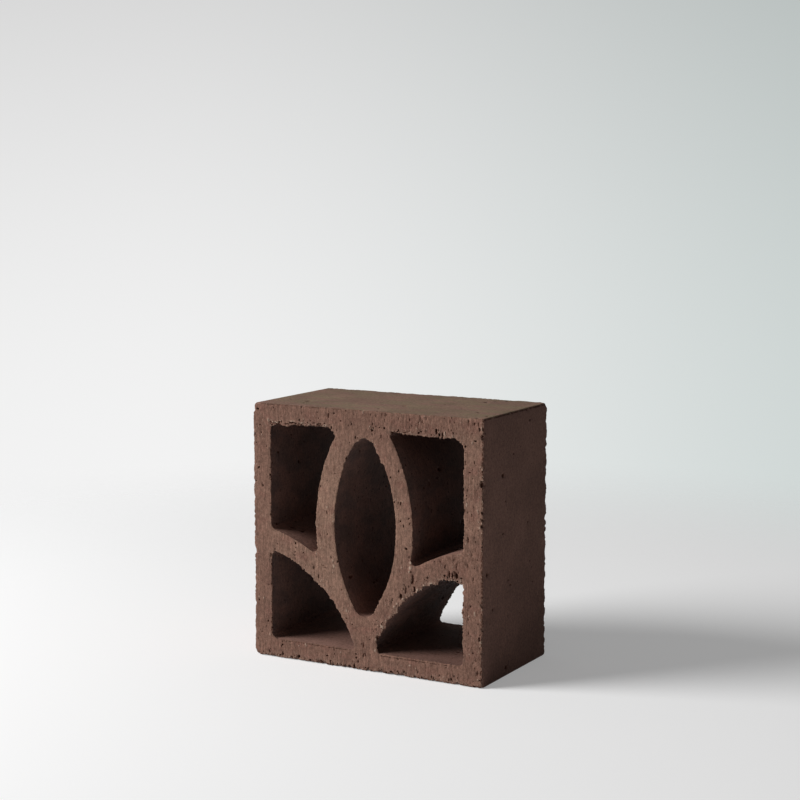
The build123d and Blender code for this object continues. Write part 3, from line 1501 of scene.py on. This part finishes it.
    def wall(self, ring: Ring, skin: DieSkin, cuts: tuple[WireCut, WireCut], along: np.ndarray) -> Wall:
        """Shape the wall along one outline.

        Args:
            ring: The outline.
            skin: What the die left.
            cuts: The front and back cuts.
            along: The rows' places along Y.

        Returns:
            The wall, held inside the block's width and height.
        """
        shift, pit = skin.relief(ring, along)
        points = ring.points[None] + ring.out[None] * shift[..., None]
        fray = np.zeros_like(shift)
        for cut, depth in zip(cuts, self.depths(along)):
            moved = cut.pull(ring).at(depth)
            points = points + moved
            fray = np.maximum(fray, np.clip(np.linalg.norm(moved, axis=2) / self.fray_move, 0.0, 1.0))
        half = self.section.width / 2.0
        return Wall(ring, np.clip(points, (-half, 0.0), (half, self.section.height)), pit, fray)

    def joined(self, walls: list[Wall], sheets: list[Sheet], along: np.ndarray) -> MeshParts:
        """Join the walls and the two cut faces, point to point.

        Args:
            walls: The wall along each outline.
            sheets: The front and back cut faces.
            along: The rows' places along Y.

        Returns:
            The whole block's points and triangles.
        """
        parts = MeshParts()
        rims: tuple[list, list] = ([], [])
        done = 0
        ease = [1.0 - smoothstep(0.0, self.sink_reach, depth)[:, None] for depth in self.depths(along)]
        for wall in walls:
            here = slice(done, done + len(wall.ring.points))
            done = here.stop
            crumb, cut_share = np.zeros_like(wall.pit), np.zeros_like(wall.pit)
            for row, sheet in zip(ENDS, sheets):
                wall.pit[row], crumb[row], cut_share[row] = sheet.pit[here], sheet.crumb[here], 1.0
            sinks = [sheet.sink[here][None] for sheet in sheets]
            y = along[:, None] + sinks[0] * ease[0] - sinks[1] * ease[1]
            number = parts.add(
                np.stack([wall.points[..., 0], y, wall.points[..., 1]], axis=-1).reshape(-1, 3),
                cut=cut_share.ravel(),
                # the pit mark carries painted shade in pits, creases and the groove
                pit=wall.pit.ravel(),
                crumb=crumb.ravel(),
                frayed=wall.fray.ravel(),
                inner=float(wall.ring.edge is not Edge.OUTSIDE),
            ).reshape(wall.pit.shape)
            parts.triangles.append(wall.triangles(number))
            for row, rim in zip(ENDS, rims):
                rim.append(number[row])
        for sheet, rings, cut, face in zip(sheets, rims, Cut, (self.front, self.back)):
            rim = np.concatenate(rings)
            y = face - cut.value * sheet.sink
            points = np.stack([sheet.spots[:, 0], y, sheet.spots[:, 1]], axis=1)
            within = slice(len(rim), None)
            marks = {"pit": sheet.pit[within], "crumb": sheet.crumb[within], "frayed": sheet.frayed[within]}
            numbers = np.concatenate([rim, parts.add(points[within], cut=1.0, inner=0.0, **marks)])
            parts.triangles.append(numbers[sheet.triangles if cut is Cut.FRONT else sheet.triangles[:, ::-1]])
        return parts

    def thinned(self, parts: MeshParts) -> bpy.types.Object:
        """Make the block's object, and thin its mesh where it is plain.

        Args:
            parts: The block's points and triangles.

        Returns:
            The block's object, thinned to about its most triangles.
        """
        mesh = parts.mesh(PIECE)
        block = bpy.data.objects.new(PIECE, mesh)
        bpy.context.scene.collection.objects.link(block)
        thin = block.modifiers.new("thin", "DECIMATE")
        before = len(mesh.polygons)
        thin.ratio = self.most_triangles / before
        shaped = block.evaluated_get(bpy.context.evaluated_depsgraph_get())
        block.data = bpy.data.meshes.new_from_object(shaped)
        block.modifiers.clear()
        bpy.data.meshes.remove(mesh)
        block.data.name = PIECE
        self.keep_inside(block.data)
        block.data.shade_smooth()
        block.data.set_sharp_from_angle(angle=self.sharp_angle)
        log.info("thinned from %d to %d triangles", before, len(block.data.polygons))
        return block

    def keep_inside(self, mesh: bpy.types.Mesh) -> None:
        """Bring points that the thinning put past the block's box back to its sides.

        Args:
            mesh: The block's mesh.
        """
        points = np.empty(len(mesh.vertices) * 3, dtype=np.float32)
        mesh.vertices.foreach_get("co", points)
        half = self.section.width / 2.0
        low, high = (-half, self.front, 0.0), (half, self.back, self.section.height)
        held = np.clip(points.reshape(-1, 3), low, high).astype(np.float32)
        mesh.vertices.foreach_set("co", held.ravel())
        mesh.update()


class Axis(Enum):
    """The directions of the block: across its face, into its depth, and up."""

    X = "X"
    Y = "Y"
    Z = "Z"


class Tint(Enum):
    """The colours of the marks on the clay. The darkest is painted shade in pits, pores, creases and the
    top's groove, and also the colour of dark specks and blots; the scratch colour also paints shade along the
    cut faces' bottom and right edges.
    """

    # painted shade in pits, pores, creases and the groove, and the colour of dark specks and blots
    PIT_SHADE_AND_DARK_SPOTS = (0.043, 0.0095, 0.0027)
    # dark scratches, and painted shade along the cut faces' bottom and right edges
    SCRATCH_AND_EDGE_SHADE = (0.060, 0.023, 0.014)
    CRUMB = (0.42, 0.31, 0.24)


class Mix(Enum):
    """What a mix is made of, in the node's words: its data type and the end of its sockets' names."""

    COLOUR = ("RGBA", "Color")
    NUMBER = ("FLOAT", "Float")


@dataclass(frozen=True)
class Spot:
    """A round place on the cut faces: the stretch and shift that bring its middle to 0, and its fade."""

    stretch: Triple
    shift: Triple
    fade: Fade


@dataclass(frozen=True)
class Noise:
    """Smooth noise whose grains have this size in millimetres along x, y and z.

    The detail says how many finer layers it has, and the shift sets it apart from other noise.
    """

    size: Triple
    fade: Fade | None = None
    detail: float = 2.0
    shift: float = 0.0

    @classmethod
    def tone(cls, size: Triple, by: float, detail: float = 2.0, shift: float = 0.0) -> "Noise":
        """Make noise that lightens and darkens a colour by as much."""
        return cls(size, Fade(0.25, 0.75, 1.0 - by, 1.0 + by), detail, shift)


@dataclass(frozen=True)
class Speckle:
    """Specks or pores of one colour: the noise that places them, and how far they cover the clay."""

    noise: Noise
    cover: float
    tint: Tint


@dataclass
class NodeBench:
    """Lays nodes into a material or a world, one small step at a time."""

    tree: bpy.types.NodeTree

    def add(self, kind: str, **settings: object) -> bpy.types.Node:
        """Add a node.

        Args:
            kind: The node's type.
            settings: Its properties.

        Returns:
            The node.
        """
        node = self.tree.nodes.new(kind)
        for name, value in settings.items():
            setattr(node, name, value)
        return node

    def feed(self, socket: bpy.types.NodeSocket, value: object) -> None:
        """Give a socket a value, or link it.

        Args:
            socket: The socket.
            value: The value, or another node's socket.
        """
        if isinstance(value, bpy.types.NodeSocket):
            self.tree.links.new(value, socket)
        else:
            socket.default_value = value

    def place(self) -> bpy.types.NodeSocket:
        """Return the place on the object."""
        return self.add("ShaderNodeTexCoord").outputs["Object"]

    def part(self, vector: bpy.types.NodeSocket, axis: Axis) -> bpy.types.NodeSocket:
        """Take one part of a vector.

        Args:
            vector: The vector.
            axis: Which of its parts.

        Returns:
            That part.
        """
        split = self.add("ShaderNodeSeparateXYZ")
        self.feed(split.inputs[0], vector)
        return split.outputs[axis.value]

    def mark(self, name: str) -> bpy.types.NodeSocket:
        """Return one of the mesh's marks."""
        return self.add("ShaderNodeAttribute", attribute_name=name).outputs["Fac"]

    def math(self, operation: str, *values: object) -> bpy.types.NodeSocket:
        """Do one sum.

        Args:
            operation: What to do.
            values: What to do it with: numbers or sockets.

        Returns:
            The result.
        """
        node = self.add("ShaderNodeMath", operation=operation)
        for socket, value in zip(node.inputs, values):
            self.feed(socket, value)
        return node.outputs[0]

    def product(self, first: object, *others: object) -> bpy.types.NodeSocket:
        """Multiply some shares.

        Args:
            first: The first number or socket.
            others: The others.

        Returns:
            Their product.
        """
        for other in others:
            first = self.math("MULTIPLY", first, other)
        return first

    def moved(self, vector: bpy.types.NodeSocket, stretch: Triple, shift: Triple) -> bpy.types.NodeSocket:
        """Stretch a vector and shift it.

        Args:
            vector: The vector.
            stretch: What each of its parts is multiplied by.
            shift: What is then added to each.

        Returns:
            The vector so moved.
        """
        node = self.add("ShaderNodeVectorMath", operation="MULTIPLY_ADD")
        self.feed(node.inputs[0], vector)
        node.inputs[1].default_value = stretch
        node.inputs[2].default_value = shift
        return node.outputs[0]

    def level(self, value: bpy.types.NodeSocket, fade: Fade) -> bpy.types.NodeSocket:
        """Turn a value into a share.

        Args:
            value: The value.
            fade: What it fades between.

        Returns:
            The share.
        """
        node = self.add("ShaderNodeMapRange", interpolation_type="SMOOTHSTEP")
        for socket, number in zip(node.inputs, (value, fade.low, fade.high, fade.bottom, fade.top)):
            self.feed(socket, number)
        return node.outputs[0]

    def along(self, axis: Axis, fade: Fade) -> bpy.types.NodeSocket:
        """Return a share that fades along one direction of the block."""
        return self.level(self.part(self.place(), axis), fade)

    def around(self, spot: Spot) -> bpy.types.NodeSocket:
        """Return a share that fades with the distance from a spot.

        Args:
            spot: The spot.

        Returns:
            The share.
        """
        length = self.add("ShaderNodeVectorMath", operation="LENGTH")
        self.feed(length.inputs[0], self.moved(self.place(), spot.stretch, spot.shift))
        return self.level(length.outputs["Value"], spot.fade)

    def noise(self, noise: Noise) -> bpy.types.NodeSocket:
        """Lay noise over the object.

        Args:
            noise: The noise.

        Returns:
            Its share, or its bare value where it has no fade.
        """
        stretch = tuple(1.0 / (size * MM) for size in noise.size)
        shift = tuple(noise.shift * times for times in NOISE_SHIFTS)
        node = self.add("ShaderNodeTexNoise")
        self.feed(node.inputs["Vector"], self.moved(self.place(), stretch, shift))
        node.inputs["Scale"].default_value = 1.0
        node.inputs["Detail"].default_value = noise.detail
        value = node.outputs["Fac"]
        return self.level(value, noise.fade) if noise.fade else value

    def mix(self, kind: Mix, share: object, first: object, second: object) -> bpy.types.NodeSocket:
        """Mix two colours or two numbers.

        Args:
            kind: Which of the two.
            share: How much of the second one, as a number or a socket.
            first: A value or a socket.
            second: Another one.

        Returns:
            The mixed value.
        """
        data_type, ending = kind.value
        node = self.add("ShaderNodeMix", data_type=data_type)
        sockets = {socket.identifier: socket for socket in (*node.inputs, *node.outputs)}
        self.feed(sockets["Factor_Float"], share)
        self.feed(sockets["A_" + ending], first)
        self.feed(sockets["B_" + ending], second)
        return sockets["Result_" + ending]

    def blend(self, share: object, first: object, second: object) -> bpy.types.NodeSocket:
        """Mix two colours.

        Args:
            share: How much of the second one, as a number or a socket.
            first: A colour or a socket.
            second: Another one.

        Returns:
            The mixed colour.
        """
        first, second = ((*value, 1.0) if isinstance(value, tuple) else value for value in (first, second))
        return self.mix(Mix.COLOUR, share, first, second)

    def toned(self, colour: bpy.types.NodeSocket, *tones: bpy.types.NodeSocket) -> bpy.types.NodeSocket:
        """Make a colour lighter and darker.

        Args:
            colour: The colour.
            tones: What it is multiplied by.

        Returns:
            The toned colour.
        """
        scaled = self.add("ShaderNodeVectorMath", operation="SCALE")
        self.feed(scaled.inputs[0], colour)
        self.feed(scaled.inputs["Scale"], self.product(*tones))
        return scaled.outputs[0]

    def sprinkle(
        self, colour: bpy.types.NodeSocket, speckle: Speckle, *shares: bpy.types.NodeSocket
    ) -> bpy.types.NodeSocket:
        """Put specks or pores on a colour.

        Args:
            colour: The colour.
            speckle: The specks or pores.
            shares: Where they lie thick.

        Returns:
            The colour with them on it.
        """
        cover = self.product(self.noise(speckle.noise), speckle.cover, *shares)
        return self.blend(cover, colour, speckle.tint.value)


@dataclass(frozen=True)
class CutFinish:
    """The cut faces: paler round the ribs, mottled, combed by the wire, with specks and pores; painted shade
    darkens a patch low on the left, the pores, and the bottom and right edges.
    """

    usual: Triple = (0.177, 0.097, 0.071)
    pale: Triple = (0.232, 0.137, 0.099)
    red: Triple = (0.176, 0.086, 0.065)
    by_ribs: Spot = Spot((1.0, 0.0, 0.95), (0.020, 0.0, -0.104), Fade(0.028, 0.085))
    pale_wall: Fade = Fade(0.07, 0.088, 0.0, 0.55)
    pale_wall_above: Fade = Fade(0.09, 0.14)
    flush: Noise = Noise((15, 30, 11), Fade(0.48, 0.7, 0.0, 0.6), 3.0, 66.0)
    # Painted shade: the cut faces darker in a patch low on the left
    painted_shade_spot: Spot = Spot((0.6, 0.0, 1.0), (0.027, 0.0, -0.078), Fade(0.012, 0.036, 0.895, 1.0))
    tones: tuple[Noise, ...] = (
        Noise.tone((24, 30, 24), 0.1, 3.0),
        Noise.tone((2.2, 3, 3.2), 0.21, 3.0, 2.0),
        Noise.tone((0.7, 3, 8), 0.2, 2.0, 4.0),
        Noise.tone((0.6, 0.6, 0.8), 0.22, 2.0, 12.0),
    )
    worked: Noise = Noise((17, 20, 12), Fade(0.4, 0.62, 0.35, 1.0), 2.0, 73.0)
    worked_across: Fade = Fade(-0.1, 0.1, 0.65, 0.85)
    speckles: tuple[Speckle, ...] = (
        Speckle(Noise((0.45, 1, 2.0), Fade(0.67, 0.76), 1.0, 20.0), 0.55, Tint.CRUMB),
        Speckle(Noise((0.7, 1.5, 2.6), Fade(0.46, 0.3), 2.0, 37.0), 0.5, Tint.SCRATCH_AND_EDGE_SHADE),
        Speckle(Noise((0.45, 0.6, 3.0), Fade(0.37, 0.27), 1.0, 31.0), 0.85, Tint.SCRATCH_AND_EDGE_SHADE),
        # Dark pores: painted shade in tiny hollows
        Speckle(Noise((0.5, 0.6, 1.3), Fade(0.3, 0.24), 1.0, 77.0), 0.8, Tint.PIT_SHADE_AND_DARK_SPOTS),
    )
    # Painted shade along the bottom and right edges of the cut faces, in dark crumbled bits where the edges
    # round away and chip
    foot: Fade = Fade(0.0035, 0.0008)
    right_edge_shade: Fade = Fade(0.0975, 0.0988)
    crumbled_edge_shade: Noise = Noise((1.5, 1.0, 1.4), Fade(0.46, 0.56, 0.0, 0.85), 2.0, 19.0)

    def colour(self, bench: NodeBench) -> bpy.types.NodeSocket:
        """Paint the cut faces.

        Args:
            bench: Where the nodes go.

        Returns:
            Their colour.
        """
        face = bench.blend(bench.around(self.by_ribs), self.pale, self.usual)
        wall = bench.product(bench.along(Axis.X, self.pale_wall), bench.along(Axis.Z, self.pale_wall_above))
        face = bench.blend(wall, face, self.pale)
        face = bench.blend(bench.noise(self.flush), face, self.red)
        # Toned by noise, and darkened low on the left by painted shade
        body = bench.toned(face, bench.around(self.painted_shade_spot), *(bench.noise(tone) for tone in self.tones))
        worked = bench.product(bench.noise(self.worked), bench.along(Axis.X, self.worked_across))
        for speckle in self.speckles:
            body = bench.sprinkle(body, speckle, worked)
        # Painted shade: dark crumbled bits along the bottom and right edges
        edges = bench.math("MAXIMUM", bench.along(Axis.Z, self.foot), bench.along(Axis.X, self.right_edge_shade))
        return bench.blend(bench.product(bench.noise(self.crumbled_edge_shade), edges), body, Tint.SCRATCH_AND_EDGE_SHADE.value)


@dataclass(frozen=True)
class SkinFinish:
    """The skins that the die pressed: rippled, with a few dark specks; olive on the top bed, partly dust and
    partly painted light; painted shade at the sides' foot, inside the openings and deeper in on their floors;
    and a darker patch on the front of the lower right floor.
    """

    usual: Triple = (0.224, 0.123, 0.096)
    # Olive on the top bed: partly dust, partly painted light that makes the top paler and greyer
    dust_and_painted_light: Triple = (0.205, 0.141, 0.092)
    shade: Triple = (0.070, 0.034, 0.026)
    # Painted shade inside the openings: their walls and ceilings mottled darker and greyer
    inner_shade_tint: Triple = (0.072, 0.053, 0.049)
    top_bed: Fade = Fade(0.1988, 0.1997)
    top_slant: float = 0.25
    top_behind: Fade = Fade(-0.078, -0.05, 0.35, 1.0)
    dust_and_light_patches: Noise = Noise((22, 9, 9), Fade(0.36, 0.62, 0.25, 1.0), 3.0, 41.0)
    # Painted shade: the outside walls darker towards their foot, more so at the front
    painted_foot_shade: Fade = Fade(0.0, 0.11, 0.3, 0.0)
    painted_foot_shade_front: Fade = Fade(-0.055, 0.02, 1.7, 1.0)
    inner_shade: Noise = Noise((14, 22, 14), Fade(0.38, 0.64, 0.35, 0.72), 2.0, 86.0)
    not_floors: Fade = Fade(0.2, 0.7, 1.0, 0.0)
    # Painted shade: the openings' floors darker deeper in
    deep: Fade = Fade(0.052, 0.03, 0.0, 0.5)
    # A darker patch on the front of the lower right opening's floor
    dark_patch_front: Fade = Fade(0.01, -0.03, 0.0, 0.5)
    dark_patch_right: Fade = Fade(0.0, 0.03)
    dark_patch_low: Fade = Fade(0.05, 0.03)
    floors: Fade = Fade(-0.1, 0.5)
    tones: tuple[Noise, ...] = (
        Noise.tone((30, 40, 30), 0.12, 2.0, 45.0),
        Noise.tone((9, 1.2, 9), 0.1, 3.0, 8.0),
        Noise.tone((2.0, 2.0, 2.0), 0.18, 3.0, 51.0),
        Noise.tone((0.6, 0.6, 0.6), 0.18, 2.0, 57.0),
    )
    blots: Noise = Noise((3.0, 3.4, 3.0), Fade(0.32, 0.24, 0.0, 0.8), 1.0, 91.0)
    specks: Speckle = Speckle(Noise((1.1, 1.3, 1.1), Fade(0.32, 0.25), 1.0, 61.0), 0.6, Tint.PIT_SHADE_AND_DARK_SPOTS)

    def outside(self, bench: NodeBench, inner: bpy.types.NodeSocket) -> bpy.types.NodeSocket:
        """Paint the top and the sides.

        Args:
            bench: Where the nodes go.
            inner: 1 inside the openings.

        Returns:
            The colour, olive on the top bed (partly dust, partly painted light), and darker low down, a
            painted shade at the foot of the sides.
        """
        x, y = bench.part(bench.place(), Axis.X), bench.part(bench.place(), Axis.Y)
        behind = bench.level(bench.math("MULTIPLY_ADD", x, self.top_slant, y), self.top_behind)
        # Partly dust and partly painted light on the top bed
        dust_and_light_patches = bench.product(bench.along(Axis.Z, self.top_bed), behind, bench.noise(self.dust_and_light_patches))
        # Painted shade at the foot of the outside walls
        low = bench.product(bench.along(Axis.Z, self.painted_foot_shade), bench.along(Axis.Y, self.painted_foot_shade_front))
        low = bench.product(low, bench.math("SUBTRACT", 1.0, inner))
        return bench.blend(low, bench.blend(dust_and_light_patches, self.usual, self.dust_and_painted_light), self.shade)

    def colour(self, bench: NodeBench) -> bpy.types.NodeSocket:
        """Paint the skins.

        Args:
            bench: Where the nodes go.

        Returns:
            Their colour.
        """
        inner = bench.mark("inner")
        up = bench.part(bench.add("ShaderNodeNewGeometry").outputs["Normal"], Axis.Z)
        # Painted shade: the openings' walls and ceilings mottled darker and greyer
        inner_shade = bench.product(bench.noise(self.inner_shade), bench.level(up, self.not_floors), inner)
        skin = bench.blend(inner_shade, self.outside(bench, inner), self.inner_shade_tint)
        # Painted shade on the openings' floors, darker deeper in; the darker patch below joins it
        depth = bench.math("ABSOLUTE", bench.part(bench.place(), Axis.Y))
        # A darker patch on the front of the lower right opening's floor
        dark_patch = bench.product(
            bench.along(Axis.Y, self.dark_patch_front),
            bench.along(Axis.X, self.dark_patch_right),
            bench.along(Axis.Z, self.dark_patch_low),
        )
        deep = bench.math("MAXIMUM", bench.level(depth, self.deep), dark_patch)
        skin = bench.blend(bench.product(deep, bench.level(up, self.floors), inner), skin, self.shade)
        body = bench.toned(skin, *(bench.noise(tone) for tone in self.tones))
        body = bench.blend(bench.product(bench.noise(self.blots), inner), body, Tint.PIT_SHADE_AND_DARK_SPOTS.value)
        return bench.sprinkle(body, self.specks)


@dataclass(frozen=True)
class FineRelief:
    """The finest relief: drag lines and grit on the cuts, ripples on the skins."""

    drag: Noise = Noise((0.5, 2, 7), None, 3.0, 4.0)
    grit: Noise = Noise((0.5, 0.5, 0.8), None, 3.0, 15.0)
    ripple: Noise = Noise((30, 0.9, 30), None, 3.0, 8.0)
    dull: Noise = Noise((0.8, 0.8, 0.8), None, 2.0, 17.0)
    skin_share: float = 0.45
    depth: float = 0.25 * MM

    def normal(self, bench: NodeBench, cut: bpy.types.NodeSocket) -> bpy.types.NodeSocket:
        """Raise the relief.

        Args:
            bench: Where the nodes go.
            cut: 1 on the cut faces, 0 on the skins.

        Returns:
            The surface's normal.
        """
        cut_relief = bench.math("ADD", bench.noise(self.drag), bench.noise(self.grit))
        skin_relief = bench.math("ADD", bench.noise(self.ripple), bench.noise(self.dull))
        height = bench.mix(Mix.NUMBER, cut, bench.product(skin_relief, self.skin_share), cut_relief)
        bump = bench.add("ShaderNodeBump")
        bump.inputs["Distance"].default_value = self.depth
        bump.inputs["Strength"].default_value = 1.0
        bench.feed(bump.inputs["Height"], height)
        return bump.outputs["Normal"]


@dataclass(frozen=True)
class FiredClay:
    """Reddish brown clay, fired dull: rough and streaked where cut, smoother where the die pressed it."""

    cut: CutFinish = CutFinish()
    skin: SkinFinish = SkinFinish()
    relief: FineRelief = FineRelief()
    cut_or_skin: Fade = Fade(0.25, 0.75)
    torn: Speckle = Speckle(Noise((0.9, 0.9, 1.4), Fade(0.45, 0.7), 2.0, 25.0), 0.45, Tint.CRUMB)
    crumb_cover: float = 0.75
    # How the mesh's pit mark turns into painted shade
    pit: Fade = Fade(0.1, 0.8)
    pit_shade_cover: float = 0.95
    shine: float = 0.15
    roughness: Fade = Fade(0.0, 1.0, 0.8, 0.95)
    uneven: Noise = Noise((3.0, 3.0, 3.0))
    uneven_by: float = 0.08

    def material(self) -> bpy.types.Material:
        """Build the clay's material.

        Returns:
            The material.
        """
        material = bpy.data.materials.new("fired_clay")
        material.use_nodes = True
        bench = NodeBench(material.node_tree)
        shader = material.node_tree.nodes["Principled BSDF"]
        shader.inputs["Specular IOR Level"].default_value = self.shine
        cut = bench.level(bench.mark("cut"), self.cut_or_skin)
        rough = bench.level(cut, self.roughness)
        rough = bench.math("MULTIPLY_ADD", bench.noise(self.uneven), self.uneven_by, rough)
        bench.feed(shader.inputs["Base Color"], self.colour(bench, cut))
        bench.feed(shader.inputs["Roughness"], rough)
        bench.feed(shader.inputs["Normal"], self.relief.normal(bench, cut))
        return material

    def colour(self, bench: NodeBench, cut: bpy.types.NodeSocket) -> bpy.types.NodeSocket:
        """Paint the clay: the cut faces over the skins, then the torn edges and crumbs, then painted shade in
        the mesh's pits, creases and groove.

        Args:
            bench: Where the nodes go.
            cut: 1 on the cut faces, 0 on the skins.

        Returns:
            The clay's colour.
        """
        body = bench.blend(cut, self.skin.colour(bench), self.cut.colour(bench))
        torn = bench.product(bench.mark("frayed"), bench.noise(self.torn.noise), self.torn.cover)
        body = bench.blend(torn, body, self.torn.tint.value)
        body = bench.blend(bench.product(bench.mark("crumb"), self.crumb_cover), body, Tint.CRUMB.value)
        # Painted shade in the pits, creases and groove of the mesh
        painted_pit_shade = bench.product(bench.level(bench.mark("pit"), self.pit), self.pit_shade_cover)
        return bench.blend(painted_pit_shade, body, Tint.PIT_SHADE_AND_DARK_SPOTS.value)


@dataclass
class Studio:
    """A pale table under one large soft light from the left and front, and the camera."""

    camera_place: Triple = (0.6741, -1.2005, 0.3749)
    camera_yaw: float = math.radians(-29.318)
    camera_pitch: float = math.radians(7.169)
    camera_reach: float = 60.0
    lens: float = 80.80
    film_width: float = 36.0
    light_heading: float = math.radians(217)
    light_height: float = math.radians(28)
    light_away: float = 2.6
    light_size: float = 1.5
    light_power: float = 92.0
    fill: Fade = Fade(0.0, 0.8, 0.02, 0.12)
    backdrop_left: Triple = (0.893, 0.893, 0.893)
    backdrop_right: Triple = (0.597, 0.656, 0.645)
    backdrop_across: Fade = Fade(-0.155, 0.33)
    backdrop_up: Fade = Fade(-0.18, 0.48, 1.0, 0.4)
    floor_reach: float = 4.0
    floor_sides: int = 96
    floor_edge: Fade = Fade(0.4, 1.0)
    floor_seen: Triple = (0.755, 0.755, 0.755)
    floor_glow: Triple = (0.26, 0.26, 0.26)
    floor_bounce: Triple = (0.8, 0.8, 0.8)
    floor_roughness: float = 0.9

    def build(self, middle: Vector) -> None:
        """Set up the camera, the light, the world and the floor.

        Args:
            middle: The middle of the object, where the light points.
        """
        self.camera()
        self.light(middle)
        self.world()
        self.floor()

    @staticmethod
    def heading(across: float, along: float, height: float) -> Vector:
        """Return the direction with these parts on the level, lifted by an angle."""
        return Vector((across * math.cos(height), along * math.cos(height), math.sin(height)))

    def camera(self) -> None:
        """Stand the camera where the photograph was taken."""
        data = bpy.data.cameras.new("camera")
        data.lens, data.sensor_width = self.lens, self.film_width
        data.clip_end = self.camera_reach
        camera = bpy.data.objects.new("camera", data)
        ahead = self.heading(math.sin(self.camera_yaw), math.cos(self.camera_yaw), -self.camera_pitch)
        camera.location = self.camera_place
        camera.rotation_euler = ahead.to_track_quat("-Z", "Y").to_euler()
        bpy.context.scene.collection.objects.link(camera)
        bpy.context.scene.camera = camera

    def light(self, middle: Vector) -> None:
        """Hang the large soft light.

        Args:
            middle: Where it points.
        """
        data = bpy.data.lights.new("key", "AREA")
        data.shape, data.size, data.energy = "DISK", self.light_size, self.light_power
        key = bpy.data.objects.new("key", data)
        toward = self.heading(math.cos(self.light_heading), math.sin(self.light_heading), self.light_height)
        key.location = middle + toward * self.light_away
        key.rotation_euler = toward.to_track_quat("Z", "Y").to_euler()
        key.visible_camera = False
        bpy.context.scene.collection.objects.link(key)

    @staticmethod
    def seen(bench: NodeBench) -> bpy.types.NodeSocket:
        """Pick the rays that show the surroundings: the camera's, mirrored and passing ones.

        Args:
            bench: Where the nodes go.

        Returns:
            1 for those rays.
        """
        path = bench.add("ShaderNodeLightPath").outputs
        first = bench.math("MAXIMUM", path["Is Camera Ray"], path["Is Glossy Ray"])
        return bench.math("MAXIMUM", first, path["Is Transmission Ray"])

    @staticmethod
    def either(
        bench: NodeBench, share: bpy.types.NodeSocket, first: bpy.types.Node, second: bpy.types.Node
    ) -> bpy.types.NodeSocket:
        """Mix two shaders.

        Args:
            bench: Where the nodes go.
            share: How much of the second one.
            first: A shader.
            second: Another one.

        Returns:
            The mixed shader.
        """
        both = bench.add("ShaderNodeMixShader")
        for socket, value in zip(both.inputs, (share, first.outputs[0], second.outputs[0])):
            bench.feed(socket, value)
        return both.outputs[0]

    def world(self) -> None:
        """Light the object evenly and show a pale backdrop, brighter on the left and lower down."""
        world = bpy.data.worlds.new("studio")
        world.use_nodes = True
        bpy.context.scene.world = world
        bench = NodeBench(world.node_tree)
        way = bench.add("ShaderNodeTexCoord").outputs["Generated"]
        across = bench.add("ShaderNodeVectorMath", operation="DOT_PRODUCT")
        bench.feed(across.inputs[0], way)
        across.inputs[1].default_value = (math.cos(self.camera_yaw), -math.sin(self.camera_yaw), 0.0)
        right = bench.level(across.outputs["Value"], self.backdrop_across)
        up = bench.part(way, Axis.Z)
        shown = bench.add("ShaderNodeBackground")
        bench.feed(shown.inputs["Color"], bench.blend(right, self.backdrop_left, self.backdrop_right))
        bench.feed(shown.inputs["Strength"], bench.level(up, self.backdrop_up))
        fill = bench.add("ShaderNodeBackground")
        fill.inputs["Color"].default_value = (1.0, 1.0, 1.0, 1.0)
        bench.feed(fill.inputs["Strength"], bench.level(up, self.fill))
        surface = world.node_tree.nodes["World Output"].inputs["Surface"]
        bench.feed(surface, self.either(bench, self.seen(bench), fill, shown))

    def floor(self) -> None:
        """Lay the pale floor, which fades into the backdrop."""
        mesh = bpy.data.meshes.new("floor")
        turn = np.arange(self.floor_sides) / self.floor_sides * 2.0 * math.pi
        rim = [(math.cos(t) * self.floor_reach, math.sin(t) * self.floor_reach, 0.0) for t in turn]
        mesh.from_pydata(rim, [], [tuple(range(len(rim)))])
        floor = bpy.data.objects.new("floor", mesh)
        bpy.context.scene.collection.objects.link(floor)
        mesh.materials.append(self.floor_material())

    def floor_material(self) -> bpy.types.Material:
        """Build the floor's material.

        Returns:
            The material, which is clear beyond the floor's edge.
        """
        material = bpy.data.materials.new("pale_floor")
        material.use_nodes = True
        nodes = material.node_tree.nodes
        bench = NodeBench(material.node_tree)
        shader = nodes["Principled BSDF"]
        shader.inputs["Roughness"].default_value = self.floor_roughness
        shader.inputs["Specular IOR Level"].default_value = 0.0
        seen = self.seen(bench)
        bench.feed(shader.inputs["Base Color"], bench.blend(seen, self.floor_bounce, self.floor_seen))
        bench.feed(shader.inputs["Emission Color"], (*self.floor_glow, 1.0))
        bench.feed(shader.inputs["Emission Strength"], seen)
        away = bench.add("ShaderNodeVectorMath", operation="LENGTH")
        bench.feed(away.inputs[0], bench.place())
        edge = bench.level(away.outputs["Value"], self.floor_edge)
        clear = bench.add("ShaderNodeBsdfTransparent")
        bench.feed(nodes["Material Output"].inputs["Surface"], self.either(bench, edge, shader, clear))
        return material


def main() -> None:
    """Build the studio and the block, and give the block its clay."""
    logging.basicConfig(level=logging.INFO, format="%(name)s: %(message)s")
    bpy.context.scene.view_settings.view_transform = "Standard"
    low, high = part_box(BLOCK_NODE)
    Studio().build((low + high) / 2.0)
    block = ClayBlock(Section(width=high.x - low.x, height=high.z - low.z), low.y, high.y).build()
    block.data.materials.append(FiredClay().material())
    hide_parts(BLOCK_NODE)
    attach(block, "root")
    log.info("%s: %d points", block.name, len(block.data.vertices))


if __name__ == "__main__":
    main()
